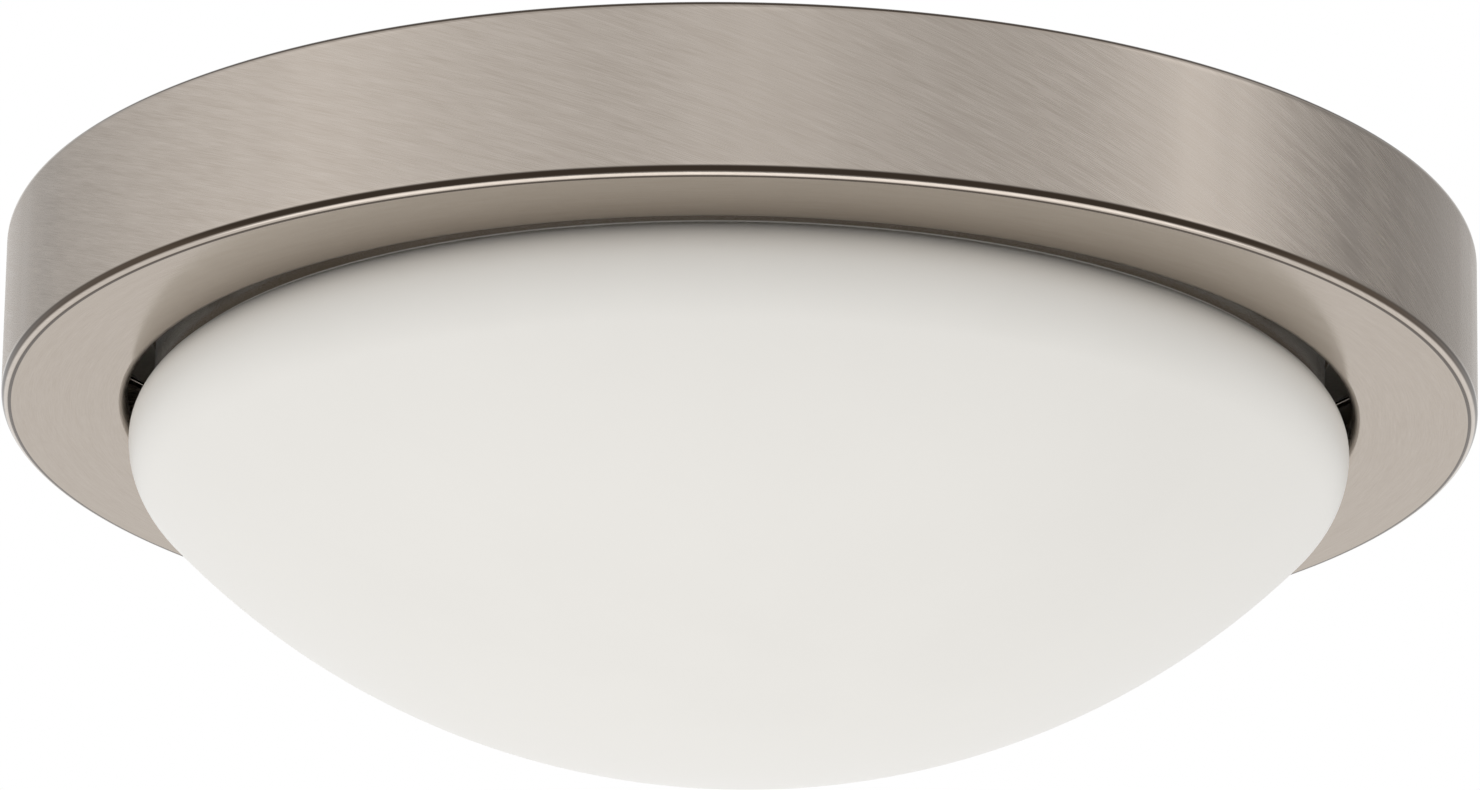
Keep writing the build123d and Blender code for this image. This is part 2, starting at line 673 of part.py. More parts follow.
def lead_routes():
    """Points of each lead, from its socket in the porcelain to its pole in the terminal block."""
    left, right = -holder_reach, holder_reach
    near, far = lamp_y - LEAD_SPREAD, lamp_y + LEAD_SPREAD
    z = lamp_z + LEAD_LIFT
    return {
        "lead_1_live": [
            (left + LEAD_SOCKET, near, z),
            (left - 12, near, z),
            (left - 13, near - 24, lead_z - 2.3),
            (left - 11, -14, lead_z - 0.8),
            (left - 2, live_y + 1, lead_z - 2.8),
            (block_left - 8, live_y, pole_z),
            (block_left + ENTRY_DEPTH, live_y, pole_z),
        ],
        "lead_1_neutral": [
            (left + LEAD_SOCKET, far, z),
            (left - 16, far, z),
            (left - 17.5, far - 26, lead_z - 2.3),
            (left - 16, -12, lead_z - 0.8),
            (left - 5, neutral_y + 4, lead_z - 2.8),
            (block_left - 8, neutral_y, pole_z),
            (block_left + ENTRY_DEPTH, neutral_y, pole_z),
        ],
        "lead_2_live": [
            (right - LEAD_SOCKET, -far, z),
            (right + 12, -far, z),
            (right + 9, -far - 18, lead_z - 3.8),
            (right - 10, saddle_y + 5, lead_z - 0.6),
            (SADDLE_X, saddle_y + LEAD_PITCH / 2 - 0.6, lead_z),
            (SADDLE_X - 44, saddle_y + 3.5, lead_z - 0.6),
            (block_right + 18, live_y - 24, lead_z - 2.3),
            (block_right + 8, live_y, pole_z),
            (block_right - ENTRY_DEPTH, live_y, pole_z),
        ],
        "lead_2_neutral": [
            (right - LEAD_SOCKET, -near, z),
            (right + 16, -near, z),
            (right + 13.5, -near - 28, lead_z - 3.8),
            (right - 7.5, saddle_y + 1.5, lead_z - 0.6),
            (SADDLE_X, saddle_y - LEAD_PITCH / 2 - 0.6, lead_z),
            (SADDLE_X - 46, saddle_y - 0.5, lead_z - 0.6),
            (block_right + 14, neutral_y - 17, lead_z - 2.3),
            (block_right + 8, neutral_y, pole_z),
            (block_right - ENTRY_DEPTH, neutral_y, pole_z),
        ],
    }


def lead(name, route):
    """A round lead along straight runs joined by arcs as large as the runs allow."""
    points = [Vector(*p) for p in route]
    radii = []
    for before, here, after in zip(points, points[1:], points[2:]):
        turn = (here - before).get_angle(after - here)
        shorter = min((here - before).length, (after - here).length)
        radii.append(0.45 * shorter / math.tan(math.radians(turn / 2)))
    path = FilletPolyline(*points, radius=radii)
    tube = sweep(Plane(origin=path @ 0, z_dir=path % 0) * Circle(LEAD_RADIUS), path=path)
    share = tube.volume / (math.pi * LEAD_RADIUS**2 * path.length)
    print(f"{name}: length {path.length:.0f}, volume share {share:.4f}, radii", [round(r, 1) for r in radii])
    return tube


# ---------------------------------------------------------------- the parts


def export(node, shape):
    if isinstance(shape, (list, tuple)):
        shape = Compound(children=list(shape))
    export_step(shape, f"parts/{node}.step")


os.makedirs("parts", exist_ok=True)
export("pan", pan())
export("back_plate", back_plate())
export("pan_rivets", pan_rivets())
export("wire_bushing", wire_bushing())
export("insulation_pad", insulation_pad())
export("crossbar", crossbar())
export("fixture_studs", fixture_studs())
export("fixture_nuts", fixture_nuts())
export("shade_glass", shade_glass())
export("shade_gasket", shade_gasket())
for i, place in enumerate(ring_of(CLIP_COUNT, 0)):
    export(f"shade_clip_{i + 1}", place * shade_clip())
export("clip_rivets", clip_rivets())
for n in HOLDERS:
    at = holder_place(n)
    export(f"lampholder_{n}_bracket", at * bracket())
    export(f"lampholder_{n}_body", at * holder_body())
    export(f"lampholder_{n}_shell", at * holder_shell())
    export(f"lampholder_{n}_contact", at * holder_contact())
    export(f"lamp_{n}_button", at * lamp_button())
    export(f"lamp_{n}_insulator", at * lamp_insulator())
    export(f"lamp_{n}_cap", at * lamp_cap())
    export(f"lamp_{n}_bulb", at * lamp_bulb())
export("lampholder_screws", lampholder_screws())
export("bracket_rivets", bracket_rivets())
export("terminal_block", terminal_block())
export("terminal_screws", terminal_screws())
export("block_screw", block_screw())
export("ground_screw", ground_screw())
export("lead_saddle", lead_saddle())
export("saddle_rivet", Pos(SADDLE_X, saddle_rivet_y) * rivet(deck_under - SADDLE_SHEET, deck_top))
for name, route in lead_routes().items():
    export(name, lead(name, route))
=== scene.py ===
import math

import bpy
from mathutils import Matrix, Vector, noise


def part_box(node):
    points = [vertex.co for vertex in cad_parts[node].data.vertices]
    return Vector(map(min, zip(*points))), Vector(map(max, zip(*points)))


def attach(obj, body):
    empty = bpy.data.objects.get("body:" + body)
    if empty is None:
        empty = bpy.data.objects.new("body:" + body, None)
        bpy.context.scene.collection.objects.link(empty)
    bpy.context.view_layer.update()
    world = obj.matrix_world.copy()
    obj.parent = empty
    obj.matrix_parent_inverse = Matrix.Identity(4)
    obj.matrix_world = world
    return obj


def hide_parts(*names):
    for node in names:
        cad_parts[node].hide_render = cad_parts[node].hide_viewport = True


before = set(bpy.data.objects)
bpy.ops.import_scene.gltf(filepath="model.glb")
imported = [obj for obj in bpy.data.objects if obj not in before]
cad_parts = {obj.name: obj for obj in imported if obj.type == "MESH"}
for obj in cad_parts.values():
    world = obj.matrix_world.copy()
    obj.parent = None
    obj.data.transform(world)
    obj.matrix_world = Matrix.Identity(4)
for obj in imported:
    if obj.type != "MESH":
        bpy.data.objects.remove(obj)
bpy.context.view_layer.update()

# ---- Camera
# It stands in front of the light and below it, far off behind a long lens, and looks up at the flat ring.
lens_mm = 253.9
camera_distance = 2.33689
camera_below = math.radians(18.7939)
camera_roll = math.radians(0.9407)
aim_up = math.radians(0.1557)
aim_side = math.radians(-0.0042)
aim_height = -0.038

to_camera = Vector((0, -math.cos(camera_below), -math.sin(camera_below)))
bpy.ops.object.camera_add(location=Vector((0, 0, aim_height)) + to_camera * camera_distance)
camera = bpy.context.object
camera.name = "camera"
camera.data.lens = lens_mm
camera.data.sensor_width = 36
camera.data.clip_start = 0.05
camera.data.clip_end = 100
facing = (-to_camera).to_track_quat("-Z", "Y").to_matrix()
tilt = Matrix.Rotation(camera_roll, 3, "Z") @ Matrix.Rotation(aim_up, 3, "X")
tilt = tilt @ Matrix.Rotation(aim_side, 3, "Y")
camera.rotation_euler = (facing @ tilt).to_euler()
bpy.context.scene.camera = camera
bpy.context.scene.view_settings.view_transform = "Standard"

# ---- Floor and light
# A pale floor a good metre below the light, and a soft studio round it: bright from below and from above, and
# dimmest just above eye height. Metal mirrors a ring of soft panels above eye height. Under them it mirrors a
# studio that is dim in front and bright behind, with one lamp low down.
floor_z = -1.25
floor_size = 60
floor_white = (0.86, 0.86, 0.85, 1)
floor_rough = 0.8


def new_finish(name):
    """A new material and its surface. The helpers below then build on its nodes."""
    global nodes, links
    made = bpy.data.materials.new(name)
    made.use_nodes = True
    nodes, links = made.node_tree.nodes, made.node_tree.links
    return made, nodes["Principled BSDF"]


def preset(node, **values):
    """Sets inputs of a node, by their names with _ for a space."""
    for name, value in values.items():
        node.inputs[name.replace("_", " ")].default_value = value


bpy.ops.object.select_all(action="DESELECT")
bpy.ops.mesh.primitive_plane_add(size=floor_size, location=(0, 0, floor_z))
floor = bpy.context.object
floor.name = "floor"
floor.visible_diffuse = False
floor.visible_glossy = False
floor.visible_transmission = False
floor.visible_shadow = False
floor_paint, surface = new_finish("floor_paint")
preset(surface, Base_Color=floor_white, Roughness=floor_rough)
clear = nodes.new("ShaderNodeBsdfTransparent")
one_way = nodes.new("ShaderNodeMixShader")
below = nodes.new("ShaderNodeNewGeometry")
links.new(below.outputs["Backfacing"], one_way.inputs["Fac"])
links.new(surface.outputs["BSDF"], one_way.inputs[1])
links.new(clear.outputs["BSDF"], one_way.inputs[2])
links.new(one_way.outputs["Shader"], nodes["Material Output"].inputs["Surface"])
floor.data.materials.append(floor_paint)

# brightness of the studio by height, from straight down to straight up
light_by_height = (
    (0.0, 0.97), (0.10, 0.97), (0.24, 1.08), (0.40, 0.95), (0.50, 0.80), (0.60, 0.60), (0.70, 0.85),
    (1.0, 1.0),
)
left_tint, right_tint = (1.06, 1.055, 1.04, 1), (0.90, 0.895, 0.88, 1)
# what metal mirrors below eye height: in front, from straight down to the horizon, and the same behind
mirrored_front = ((0.0, 0.62), (0.12, 0.50), (0.38, 0.48), (0.5, 0.55))
mirrored_back = ((0.0, 0.90), (0.20, 0.92), (0.32, 1.0), (0.5, 0.98))
front_ends, back_starts = -0.15, 0.25
# the lamp low down: how bright, and its edges and their softness across, front to back, and in height
low_lamp = 1.5
lamp_across, lamp_along, lamp_up = (-0.62, 0.62, 0.04), (-0.20, 0.36, 0.05), (-2, -0.70, 0.04)
# above eye height: panels round the light, by angle from the front, which fade into an even grey overhead
panels = (
    (-180, 1.25), (-166, 1.0), (-154, 0.72), (-140, 0.50), (-124, 0.62), (-98, 0.80), (-70, 0.98),
    (-56, 0.92), (-42, 0.80), (-14, 0.70), (0, 0.92), (14, 0.72), (28, 0.62), (46, 0.62), (58, 0.68),
    (70, 1.10), (84, 1.00), (98, 0.44), (112, 0.34), (126, 0.36), (140, 0.44), (154, 0.62), (168, 0.9),
    (180, 1.25),
)
panel_foot, panel_top, panel_fade = 0.24, 0.55, 0.80
overhead = (0.62, 0.61, 0.60, 1)

studio = bpy.data.worlds.new("studio")
bpy.context.scene.world = studio
studio.use_nodes = True
studio.cycles.sampling_method = "NONE"
nodes, links = studio.node_tree.nodes, studio.node_tree.links


def ramp(stops, source):
    """A grey ramp with these stops, as a list of place and grey, along a value from 0 to 1."""
    node = nodes.new("ShaderNodeValToRGB")
    scale = node.color_ramp
    scale.elements[0].position = stops[0][0]
    scale.elements[1].position = stops[-1][0]
    for position, grey in stops[1:-1]:
        scale.elements.new(position)
    for element, (position, grey) in zip(scale.elements, stops):
        element.color = (grey, grey, grey, 1)
    links.new(source, node.inputs["Fac"])
    return node.outputs["Color"]


def ranged(source, low, high, to_low=0.0, to_high=1.0, smooth=False):
    """A value carried from one range to another."""
    node = nodes.new("ShaderNodeMapRange")
    node.interpolation_type = "SMOOTHSTEP" if smooth else "LINEAR"
    preset(node, From_Min=low, From_Max=high, To_Min=to_low, To_Max=to_high)
    links.new(source, node.inputs["Value"])
    return node.outputs["Result"]


def mixed(factor, first, second):
    """Two colours mixed by a value."""
    node = nodes.new("ShaderNodeMix")
    node.data_type = "RGBA"
    links.new(factor, node.inputs["Factor"])
    for socket, colour in (("A", first), ("B", second)):
        if isinstance(colour, tuple):
            node.inputs[socket].default_value = colour
        else:
            links.new(colour, node.inputs[socket])
    return node.outputs["Result"]


def maths(operation, first, second=None):
    """A Math node on sockets or numbers."""
    node = nodes.new("ShaderNodeMath")
    node.operation = operation
    for socket, value in zip(node.inputs, (first, second)):
        if isinstance(value, (int, float)):
            socket.default_value = value
        elif value is not None:
            links.new(value, socket)
    return node.outputs["Value"]


def times(first, second):
    """Two values multiplied."""
    return maths("MULTIPLY", first, second)


def axes(space):
    """The place along each axis, in a texture space."""
    split = nodes.new("ShaderNodeSeparateXYZ")
    links.new(nodes.new("ShaderNodeTexCoord").outputs[space], split.inputs["Vector"])
    return split.outputs["X"], split.outputs["Y"], split.outputs["Z"]


x, y, z = axes("Generated")
height = ranged(z, -1, 1)
bearing = ranged(maths("ARCTAN2", x, times(y, -1.0)), -math.pi, math.pi)
soft_light = mixed(ranged(x, -1, 1), left_tint, right_tint)
tint = nodes.new("ShaderNodeMix")
tint.data_type = "RGBA"
tint.blend_type = "MULTIPLY"
preset(tint, Factor=1)
links.new(ramp(light_by_height, height), tint.inputs["A"])
links.new(soft_light, tint.inputs["B"])
behind = ranged(y, front_ends, back_starts, smooth=True)
low_mirror = mixed(behind, ramp(mirrored_front, height), ramp(mirrored_back, height))


def between(value, low, high, soft):
    """One where a value lies between two limits, with soft ends."""
    start = ranged(value, low - soft, low + soft, smooth=True)
    end = ranged(value, high - soft, high + soft, 1, 0, smooth=True)
    return times(start, end)


def patch(under, grey, *limits):
    """A soft-edged lamp in the studio, over what lies under it."""
    inside = 1.0
    for value, low, high, soft in limits:
        inside = times(inside, between(value, low, high, soft))
    return mixed(inside, under, (grey, grey, grey, 1))


low_mirror = patch(low_mirror, low_lamp, (x, *lamp_across), (y, *lamp_along), (z, *lamp_up))
panel_ring = ramp([((angle + 180) / 360, grey) for angle, grey in panels], bearing)
high_mirror = mixed(ranged(z, panel_top, panel_fade, smooth=True), panel_ring, overhead)
mirror = mixed(ranged(z, 0.0, panel_foot), low_mirror, high_mirror)

# the mirrored studio lights no matt surface, directly or by way of the metal, and the camera sees plain white
seen = nodes.new("ShaderNodeLightPath")
undiffused = maths("LESS_THAN", seen.outputs["Diffuse Depth"], 0.5)
lit = mixed(times(seen.outputs["Is Glossy Ray"], undiffused), tint.outputs["Result"], mirror)
shown = mixed(seen.outputs["Is Camera Ray"], lit, (1, 1, 1, 1))
links.new(shown, nodes["Background"].inputs["Color"])

# ---- Pan
# Deep-drawn sheet steel drum, plated in nickel and brushed: a straight wall, a flat ring and a rolled lip.
# It is drawn from one 0.8 mm sheet, so the whole piece is one folded wall. Its bends are burnished, and dark
# lines of painted reflection run along both outer bends.
sheet = 0.0008
flange = 0.011
ring_width = 0.0255
top_bend, edge_bend, lip_bend = 0.0020, 0.0022, 0.0026
lip_rise = 0.0042
nickel = (0.62, 0.555, 0.495, 1)
nickel_shade = (0.51, 0.448, 0.39, 1)
# the flat ring's nickel is painted darker than the wall's, a painted shade that dims the reflections in it
ring_painted_dim, ring_mark_painted_dim = (0.44, 0.38, 0.32, 1), (0.39, 0.33, 0.27, 1)
# the colour of the painted dark reflection lines along the bends
painted_dark_reflection = (0.075, 0.055, 0.04, 1)
brush_slant, brush_pull = math.radians(22), 0.5
# length and width of the strokes
fine_stroke, broad_stroke, tone_band = (0.007, 0.00028), (0.020, 0.0016), (0.012, 0.2)
fine_share, broad_share = 0.6, 0.4
mark_low, mark_high = 0.33, 0.67
ring_rough, wall_rough, band_rough, burnished_rough = (0.11, 0.17), (0.21, 0.32), 0.03, 0.07
stroke_strength, stroke_depth, ring_relief, wall_relief = 0.3, 0.00004, 0.25, 0.75
# in bend radii: where the burnish of a bend is full and gone up the wall, and starts and is full on the ring
bend_full, bend_gone, bend_starts, bend_filled = 0.8, 1.3, 1.2, 0.95
# a painted dark reflection line starts, is full, fades and is gone at these distances from the end of its
# bend
painted_wall_line, painted_ring_line = (-0.0017, -0.0014, -0.0005, -0.0001), (-0.0001, 0.0, 0.0006, 0.0008)
outer_face, under_face = (-0.0012, -0.0008), (0.0004, 0.0005)
# the painted dark reflection line of the top bend, in bend radii down from the top and in from the edge
top_line_down, top_line_in = (0.62, 0.50), (0.9, 0.7)
merge_distance = 2e-6


def mode(name):
    """Switches between editing a mesh and handling objects."""
    bpy.ops.object.mode_set(mode=name)


def turned(name, outline, around=288):
    """A circle at the outline's first radius and height, extruded ring by ring along the rest of it."""
    bpy.ops.object.select_all(action="DESELECT")
    radius, level = outline[0]
    bpy.ops.mesh.primitive_circle_add(vertices=around, radius=radius, location=(0, 0, level))
    piece = bpy.context.object
    piece.name = name
    mode("EDIT")
    bpy.ops.mesh.select_all(action="SELECT")
    for next_radius, next_level in outline[1:]:
        grow = next_radius / radius
        bpy.ops.mesh.extrude_region_move(TRANSFORM_OT_translate={"value": (0, 0, next_level - level)})
        bpy.ops.transform.resize(value=(grow, grow, 1), center_override=(0, 0, next_level))
        radius, level = next_radius, next_level
    mode("OBJECT")
    bpy.ops.object.transform_apply(location=True, rotation=True, scale=True)
    return piece


def round_edge(piece, radius, level, bend, segments=10):
    """Bevels the ring edge that lies at a radius and a level."""
    mode("EDIT")
    bpy.ops.mesh.select_all(action="DESELECT")
    bpy.ops.mesh.select_mode(type="EDGE")
    mode("OBJECT")
    for edge in piece.data.edges:
        ends = [piece.data.vertices[i].co for i in edge.vertices]
        edge.select = all(abs(p.xy.length - radius) < 1e-5 and abs(p.z - level) < 1e-5 for p in ends)
    mode("EDIT")
    bpy.ops.mesh.bevel(offset=bend, segments=segments, profile=0.5, affect="EDGES")
    mode("OBJECT")


def smoothed(piece, degrees):
    """Shades a piece smooth, apart from edges sharper than an angle, with its large faces kept flat."""
    bpy.ops.object.shade_smooth_by_angle(angle=math.radians(degrees))
    weigh = piece.modifiers.new("weigh", "WEIGHTED_NORMAL")
    weigh.keep_sharp = True
    bpy.ops.object.modifier_apply(modifier=weigh.name)


def finish_mesh(piece, thickness=0.0):
    """Closes seams, turns the faces outwards, gives a thin wall its thickness and shades the piece smooth."""
    mode("EDIT")
    bpy.ops.mesh.select_all(action="SELECT")
    bpy.ops.mesh.remove_doubles(threshold=merge_distance)
    bpy.ops.mesh.normals_make_consistent(inside=False)
    mode("OBJECT")
    if thickness:
        wall = piece.modifiers.new("wall", "SOLIDIFY")
        wall.thickness = thickness
        wall.offset = -1
        bpy.ops.object.modifier_apply(modifier=wall.name)
    smoothed(piece, 40)


pan_low, pan_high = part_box("pan")
pan_radius, ring_z = pan_high.x, pan_low.z
throat = pan_radius - ring_width - lip_bend
pan = turned(
    "pan_shell",
    [
        (pan_radius - flange, 0),
        (pan_radius, 0),
        (pan_radius, ring_z),
        (throat, ring_z),
        (throat, ring_z + lip_rise),
    ],
)
round_edge(pan, pan_radius, 0, top_bend)
round_edge(pan, pan_radius, ring_z, edge_bend)
round_edge(pan, throat, ring_z, lip_bend)
finish_mesh(pan, sheet)

brushed, metal = new_finish("brushed_nickel")
preset(metal, Metallic=1, Anisotropic=brush_pull)
x, y, z = axes("Object")
radius = maths("SQRT", maths("ADD", times(x, x), times(y, y)))
round_way = times(maths("ARCTAN2", x, times(y, -1.0)), pan_radius)
down_way = maths("ADD", radius, z)
on_wall = ranged(radius, pan_radius - edge_bend, pan_radius - edge_bend / 2)
low_bend = ranged(z, ring_z + edge_bend * bend_full, ring_z + edge_bend * bend_gone, 1, 0)
bend_across = ranged(radius, pan_radius - edge_bend * bend_starts, pan_radius - edge_bend * bend_filled)
low_bend = times(low_bend, bend_across)
high_bend = ranged(z, -top_bend * bend_gone, -top_bend * bend_full)
burnished = maths("MAXIMUM", low_bend, high_bend)
slant = times(times(on_wall, round_way), math.sin(brush_slant))


def mottled(place, scale, detail):
    """Even noise over a place."""
    cloudy = nodes.new("ShaderNodeTexNoise")
    preset(cloudy, Scale=scale, Detail=detail)
    links.new(place, cloudy.inputs["Vector"])
    return cloudy.outputs["Fac"]


def strokes(length, width, detail, seed):
    """Noise drawn out along the brush: circles on the ring, slanted lines on the wall."""
    join = nodes.new("ShaderNodeCombineXYZ")
    links.new(times(round_way, 1 / length), join.inputs["X"])
    links.new(times(maths("ADD", down_way, slant), 1 / width), join.inputs["Y"])
    links.new(maths("ADD", times(on_wall, 5.0), seed), join.inputs["Z"])
    return mottled(join.outputs["Vector"], 1, detail)


def embossed(surface, height, strength, depth):
    """Gives a surface fine relief."""
    relief = nodes.new("ShaderNodeBump")
    preset(relief, Strength=strength, Distance=depth)
    links.new(height, relief.inputs["Height"])
    links.new(relief.outputs["Normal"], surface.inputs["Normal"])


def stripe(value, start, full, fading, gone):
    """One along part of a value, rising from start to full and falling from fading to gone."""
    return times(ranged(value, start, full), ranged(value, fading, gone, 1, 0))


fine = strokes(*fine_stroke, 2, 0.0)
broad = strokes(*broad_stroke, 2, 9.0)
bands = strokes(*tone_band, 1, 21.0)
mark = ranged(maths("ADD", times(fine, fine_share), times(broad, broad_share)), mark_low, mark_high)
tone = mixed(on_wall, mixed(mark, ring_mark_painted_dim, ring_painted_dim), mixed(mark, nickel_shade, nickel))
# painted reflection: dark lines along the lower bend and round the top edge, laid over the nickel's tone
outside = ranged(radius, *(pan_radius + edge for edge in outer_face))
painted_upper_line = times(stripe(z, *(ring_z + edge_bend + edge for edge in painted_wall_line)), outside)
painted_lower_line = stripe(radius, *(pan_radius - edge_bend + edge for edge in painted_ring_line))
painted_lower_line = times(painted_lower_line, ranged(z, *(ring_z + edge for edge in under_face), 1, 0))
painted_top_line = ranged(z, *(-top_bend * share for share in top_line_down))
painted_top_line = times(painted_top_line, ranged(radius, *(pan_radius - top_bend * share for share in top_line_in)))
painted_lines = maths("MAXIMUM", painted_upper_line, maths("MAXIMUM", painted_lower_line, painted_top_line))
links.new(mixed(painted_lines, tone, painted_dark_reflection), metal.inputs["Base Color"])
on_flat = ranged(mark, 0, 1, *ring_rough)
on_side = maths("ADD", ranged(mark, 0, 1, *wall_rough), ranged(bands, 0.3, 0.7, -band_rough, band_rough))
rough = maths("ADD", times(on_wall, on_side), times(maths("SUBTRACT", 1.0, on_wall), on_flat))
plain = maths("SUBTRACT", 1.0, burnished)
rough = maths("ADD", times(plain, rough), times(burnished, burnished_rough))
links.new(rough, metal.inputs["Roughness"])
cut_depth = maths("ADD", ring_relief, times(plain, times(on_wall, wall_relief)))
embossed(metal, times(mark, cut_depth), stroke_strength, stroke_depth)
grain = nodes.new("ShaderNodeTangent")
grain.direction_type = "RADIAL"
grain.axis = "Z"
links.new(grain.outputs["Tangent"], metal.inputs["Tangent"])
pan.data.materials.append(brushed)
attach(pan, "fixture")
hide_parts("pan")

# ---- Glass bowl
# Opal glass, blown into a mould and satin etched. A rolled bead round its neck is what the spring clips hold.
# The neck is painted dark where the lip of the pan is close, as painted shade in the gap.
glass_wall = 0.003
shoulder_radius, upper_radius = 0.0188, 0.0098
opal_white = (0.835, 0.82, 0.79, 1)
opal_shade = (0.825, 0.81, 0.78, 1)
painted_neck_shade = (0.18, 0.14, 0.10, 1)
bead_width, bead_height, bead_round = 0.0031, 0.004, 0.0014
bead_gap, shoulder_below = 0.0028, 0.0071  # bead to lip, and ring to widest line
on_axis = 2e-6  # a ring this small becomes a point when the piece is closed
cloud_scale, etching_scale = 28, 5200
satin_rough, etching_rough, neck_polish = (0.36, 0.42), 0.04, 0.18
coat_weight, coat_rough = 0.04, 0.2
frost_strength, frost_depth = 0.06, 0.00002
# where the painted shade on the neck starts, how far off the lip counts, and the closeness over which it
# fades
neck_starts, lip_reach, lip_close = (0.0001, 0.0004), 0.014, (0.74, 0.86)

glass_low, glass_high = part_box("shade_glass")
widest = glass_high.x
glass_top = glass_high.z
neck = throat - bead_gap - bead_width
shoulder_z = ring_z - shoulder_below
shoulder_centre = widest - shoulder_radius
bowl_depth = shoulder_z - glass_low.z
bowl_radius = (shoulder_centre**2 + bowl_depth**2 - shoulder_radius**2) / (2 * (bowl_depth - shoulder_radius))
bowl_z = glass_low.z + bowl_radius
meet = math.atan2(bowl_z - shoulder_z, shoulder_centre)
neck_z = shoulder_z + math.sqrt(upper_radius**2 - (neck - widest + upper_radius) ** 2)


def arc(centre_radius, centre_z, radius, start, end, steps):
    """Points of an arc in the half section, angles up from the outward direction."""
    points = []
    for i in range(steps + 1):
        angle = start + (end - start) * i / steps
        points.append((centre_radius + radius * math.cos(angle), centre_z + radius * math.sin(angle)))
    return points


def bowl_face(inset):
    """Half section of one face of the bowl, from the neck down to the lowest point."""
    upper = upper_radius - inset
    start = math.acos((neck - inset - widest + upper_radius) / upper)
    turn_in = arc(widest - upper_radius, shoulder_z, upper, start, 0, 14)
    turn_down = arc(shoulder_centre, shoulder_z, shoulder_radius - inset, 0, -meet, 24)
    end = -math.acos(on_axis / (bowl_radius - inset))
    lower = arc(0, bowl_z, bowl_radius - inset, -meet, end, 60)
    return turn_in + turn_down[1:] + lower[1:]


bead = neck + bead_width
bead_top = arc(bead - bead_round, glass_top - bead_round, bead_round, math.pi / 2, 0, 6)
bead_foot = arc(bead - bead_round, glass_top - bead_height + bead_round, bead_round, 0, -math.pi / 2, 6)
inner = bowl_face(glass_wall)
outer = bowl_face(0)
section = inner[::-1] + [(neck - glass_wall, glass_top)] + bead_top + bead_foot
section += [(neck, glass_top - bead_height)] + outer
bowl = turned("glass_bowl", section)
finish_mesh(bowl)

opal, glass = new_finish("opal_glass")
x, y, z = axes("Object")
place = nodes.new("ShaderNodeTexCoord").outputs["Object"]
cloud = ranged(mottled(place, cloud_scale, 3), 0.35, 0.65, smooth=True)
etching = mottled(place, etching_scale, 2)
# painted shade on the neck where the lip is close; the same mask also polishes the neck
neck_painted_shade_and_polish = ranged(z, *(neck_z + edge for edge in neck_starts))
occlusion_for_painted_shade = nodes.new("ShaderNodeAmbientOcclusion")
occlusion_for_painted_shade.samples = 4
preset(occlusion_for_painted_shade, Distance=lip_reach)
neck_painted_shade_and_polish = times(neck_painted_shade_and_polish, ranged(occlusion_for_painted_shade.outputs["AO"], *lip_close, 1, 0))
links.new(mixed(neck_painted_shade_and_polish, mixed(cloud, opal_shade, opal_white), painted_neck_shade), glass.inputs["Base Color"])
etched = ranged(etching, 0.3, 0.7, -etching_rough, etching_rough)
satin = maths("ADD", ranged(cloud, 0, 1, *satin_rough), etched)
links.new(maths("SUBTRACT", satin, times(neck_painted_shade_and_polish, neck_polish)), glass.inputs["Roughness"])
preset(glass, Coat_Weight=coat_weight, Coat_Roughness=coat_rough)
embossed(glass, etching, frost_strength, frost_depth)
bowl.data.materials.append(opal)
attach(bowl, "shade")
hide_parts("shade_glass")

# ---- Back plate
# Deep-pressed steel plate in white enamel, dished so that the crossbar fits above it. It is riveted under the
# pan's flange and carries everything else, with keyhole slots that pass over the nuts.
enamel_white = (0.80, 0.80, 0.77, 1)
enamel_shade = (0.72, 0.72, 0.69, 1)
punched_edge = 0.00012
tone_edges, bump_strength, enamel_coat = (0.32, 0.68), 0.4, 0.5


def shown_as(name, data):
    """A new object in the scene, made of this data."""
    piece = bpy.data.objects.new(name, data)
    bpy.context.scene.collection.objects.link(piece)
    return piece


def smooth_copy(node, name, edge=0.0):
    """A copy of a pressed or punched piece, its triangles joined, its edges rounded and its bends smooth."""
    piece = shown_as(name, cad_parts[node].data.copy())
    piece.data.materials.clear()
    bpy.ops.object.select_all(action="DESELECT")
    piece.select_set(True)
    bpy.context.view_layer.objects.active = piece
    mode("EDIT")
    bpy.ops.mesh.select_all(action="SELECT")
    bpy.ops.mesh.remove_doubles(threshold=1e-6)
    bpy.ops.mesh.dissolve_limited(angle_limit=math.radians(0.4))
    mode("OBJECT")
    if edge:
        bevel = piece.modifiers.new("edges", "BEVEL")
        bevel.width = edge
        bevel.segments = 2
        bevel.limit_method = "ANGLE"
        bevel.angle_limit = math.radians(50)
        bevel.use_clamp_overlap = True
        bpy.ops.object.modifier_apply(modifier=bevel.name)
    smoothed(piece, 38)
    return piece


def material(name, colour, shade, roughness, metallic=0, grain=400, stretch=1, bump=0, spread=0.08, coat=0):
    """A finish whose colour wanders between two tones, and its roughness and surface with it."""
    made, surface = new_finish(name)
    preset(surface, Metallic=metallic, Coat_Weight=coat)
    mapping = nodes.new("ShaderNodeMapping")
    preset(mapping, Scale=(1, 1, stretch))
    links.new(nodes.new("ShaderNodeTexCoord").outputs["Object"], mapping.inputs["Vector"])
    mottle = mottled(mapping.outputs["Vector"], grain, 4)
    links.new(mixed(ranged(mottle, *tone_edges), shade, colour), surface.inputs["Base Color"])
    links.new(ranged(mottle, 0, 1, roughness - spread, roughness + spread), surface.inputs["Roughness"])
    if bump:
        embossed(surface, mottle, bump_strength, bump)
    return made


def finish(piece, made, *replaced, body="fixture"):
    """Gives a piece its material and its body, and hides the CAD parts that it stands for."""
    piece.data.materials.clear()
    piece.data.materials.append(made)
    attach(piece, body)
    # Blender adds a number to the name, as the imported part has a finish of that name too
    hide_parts(*replaced)


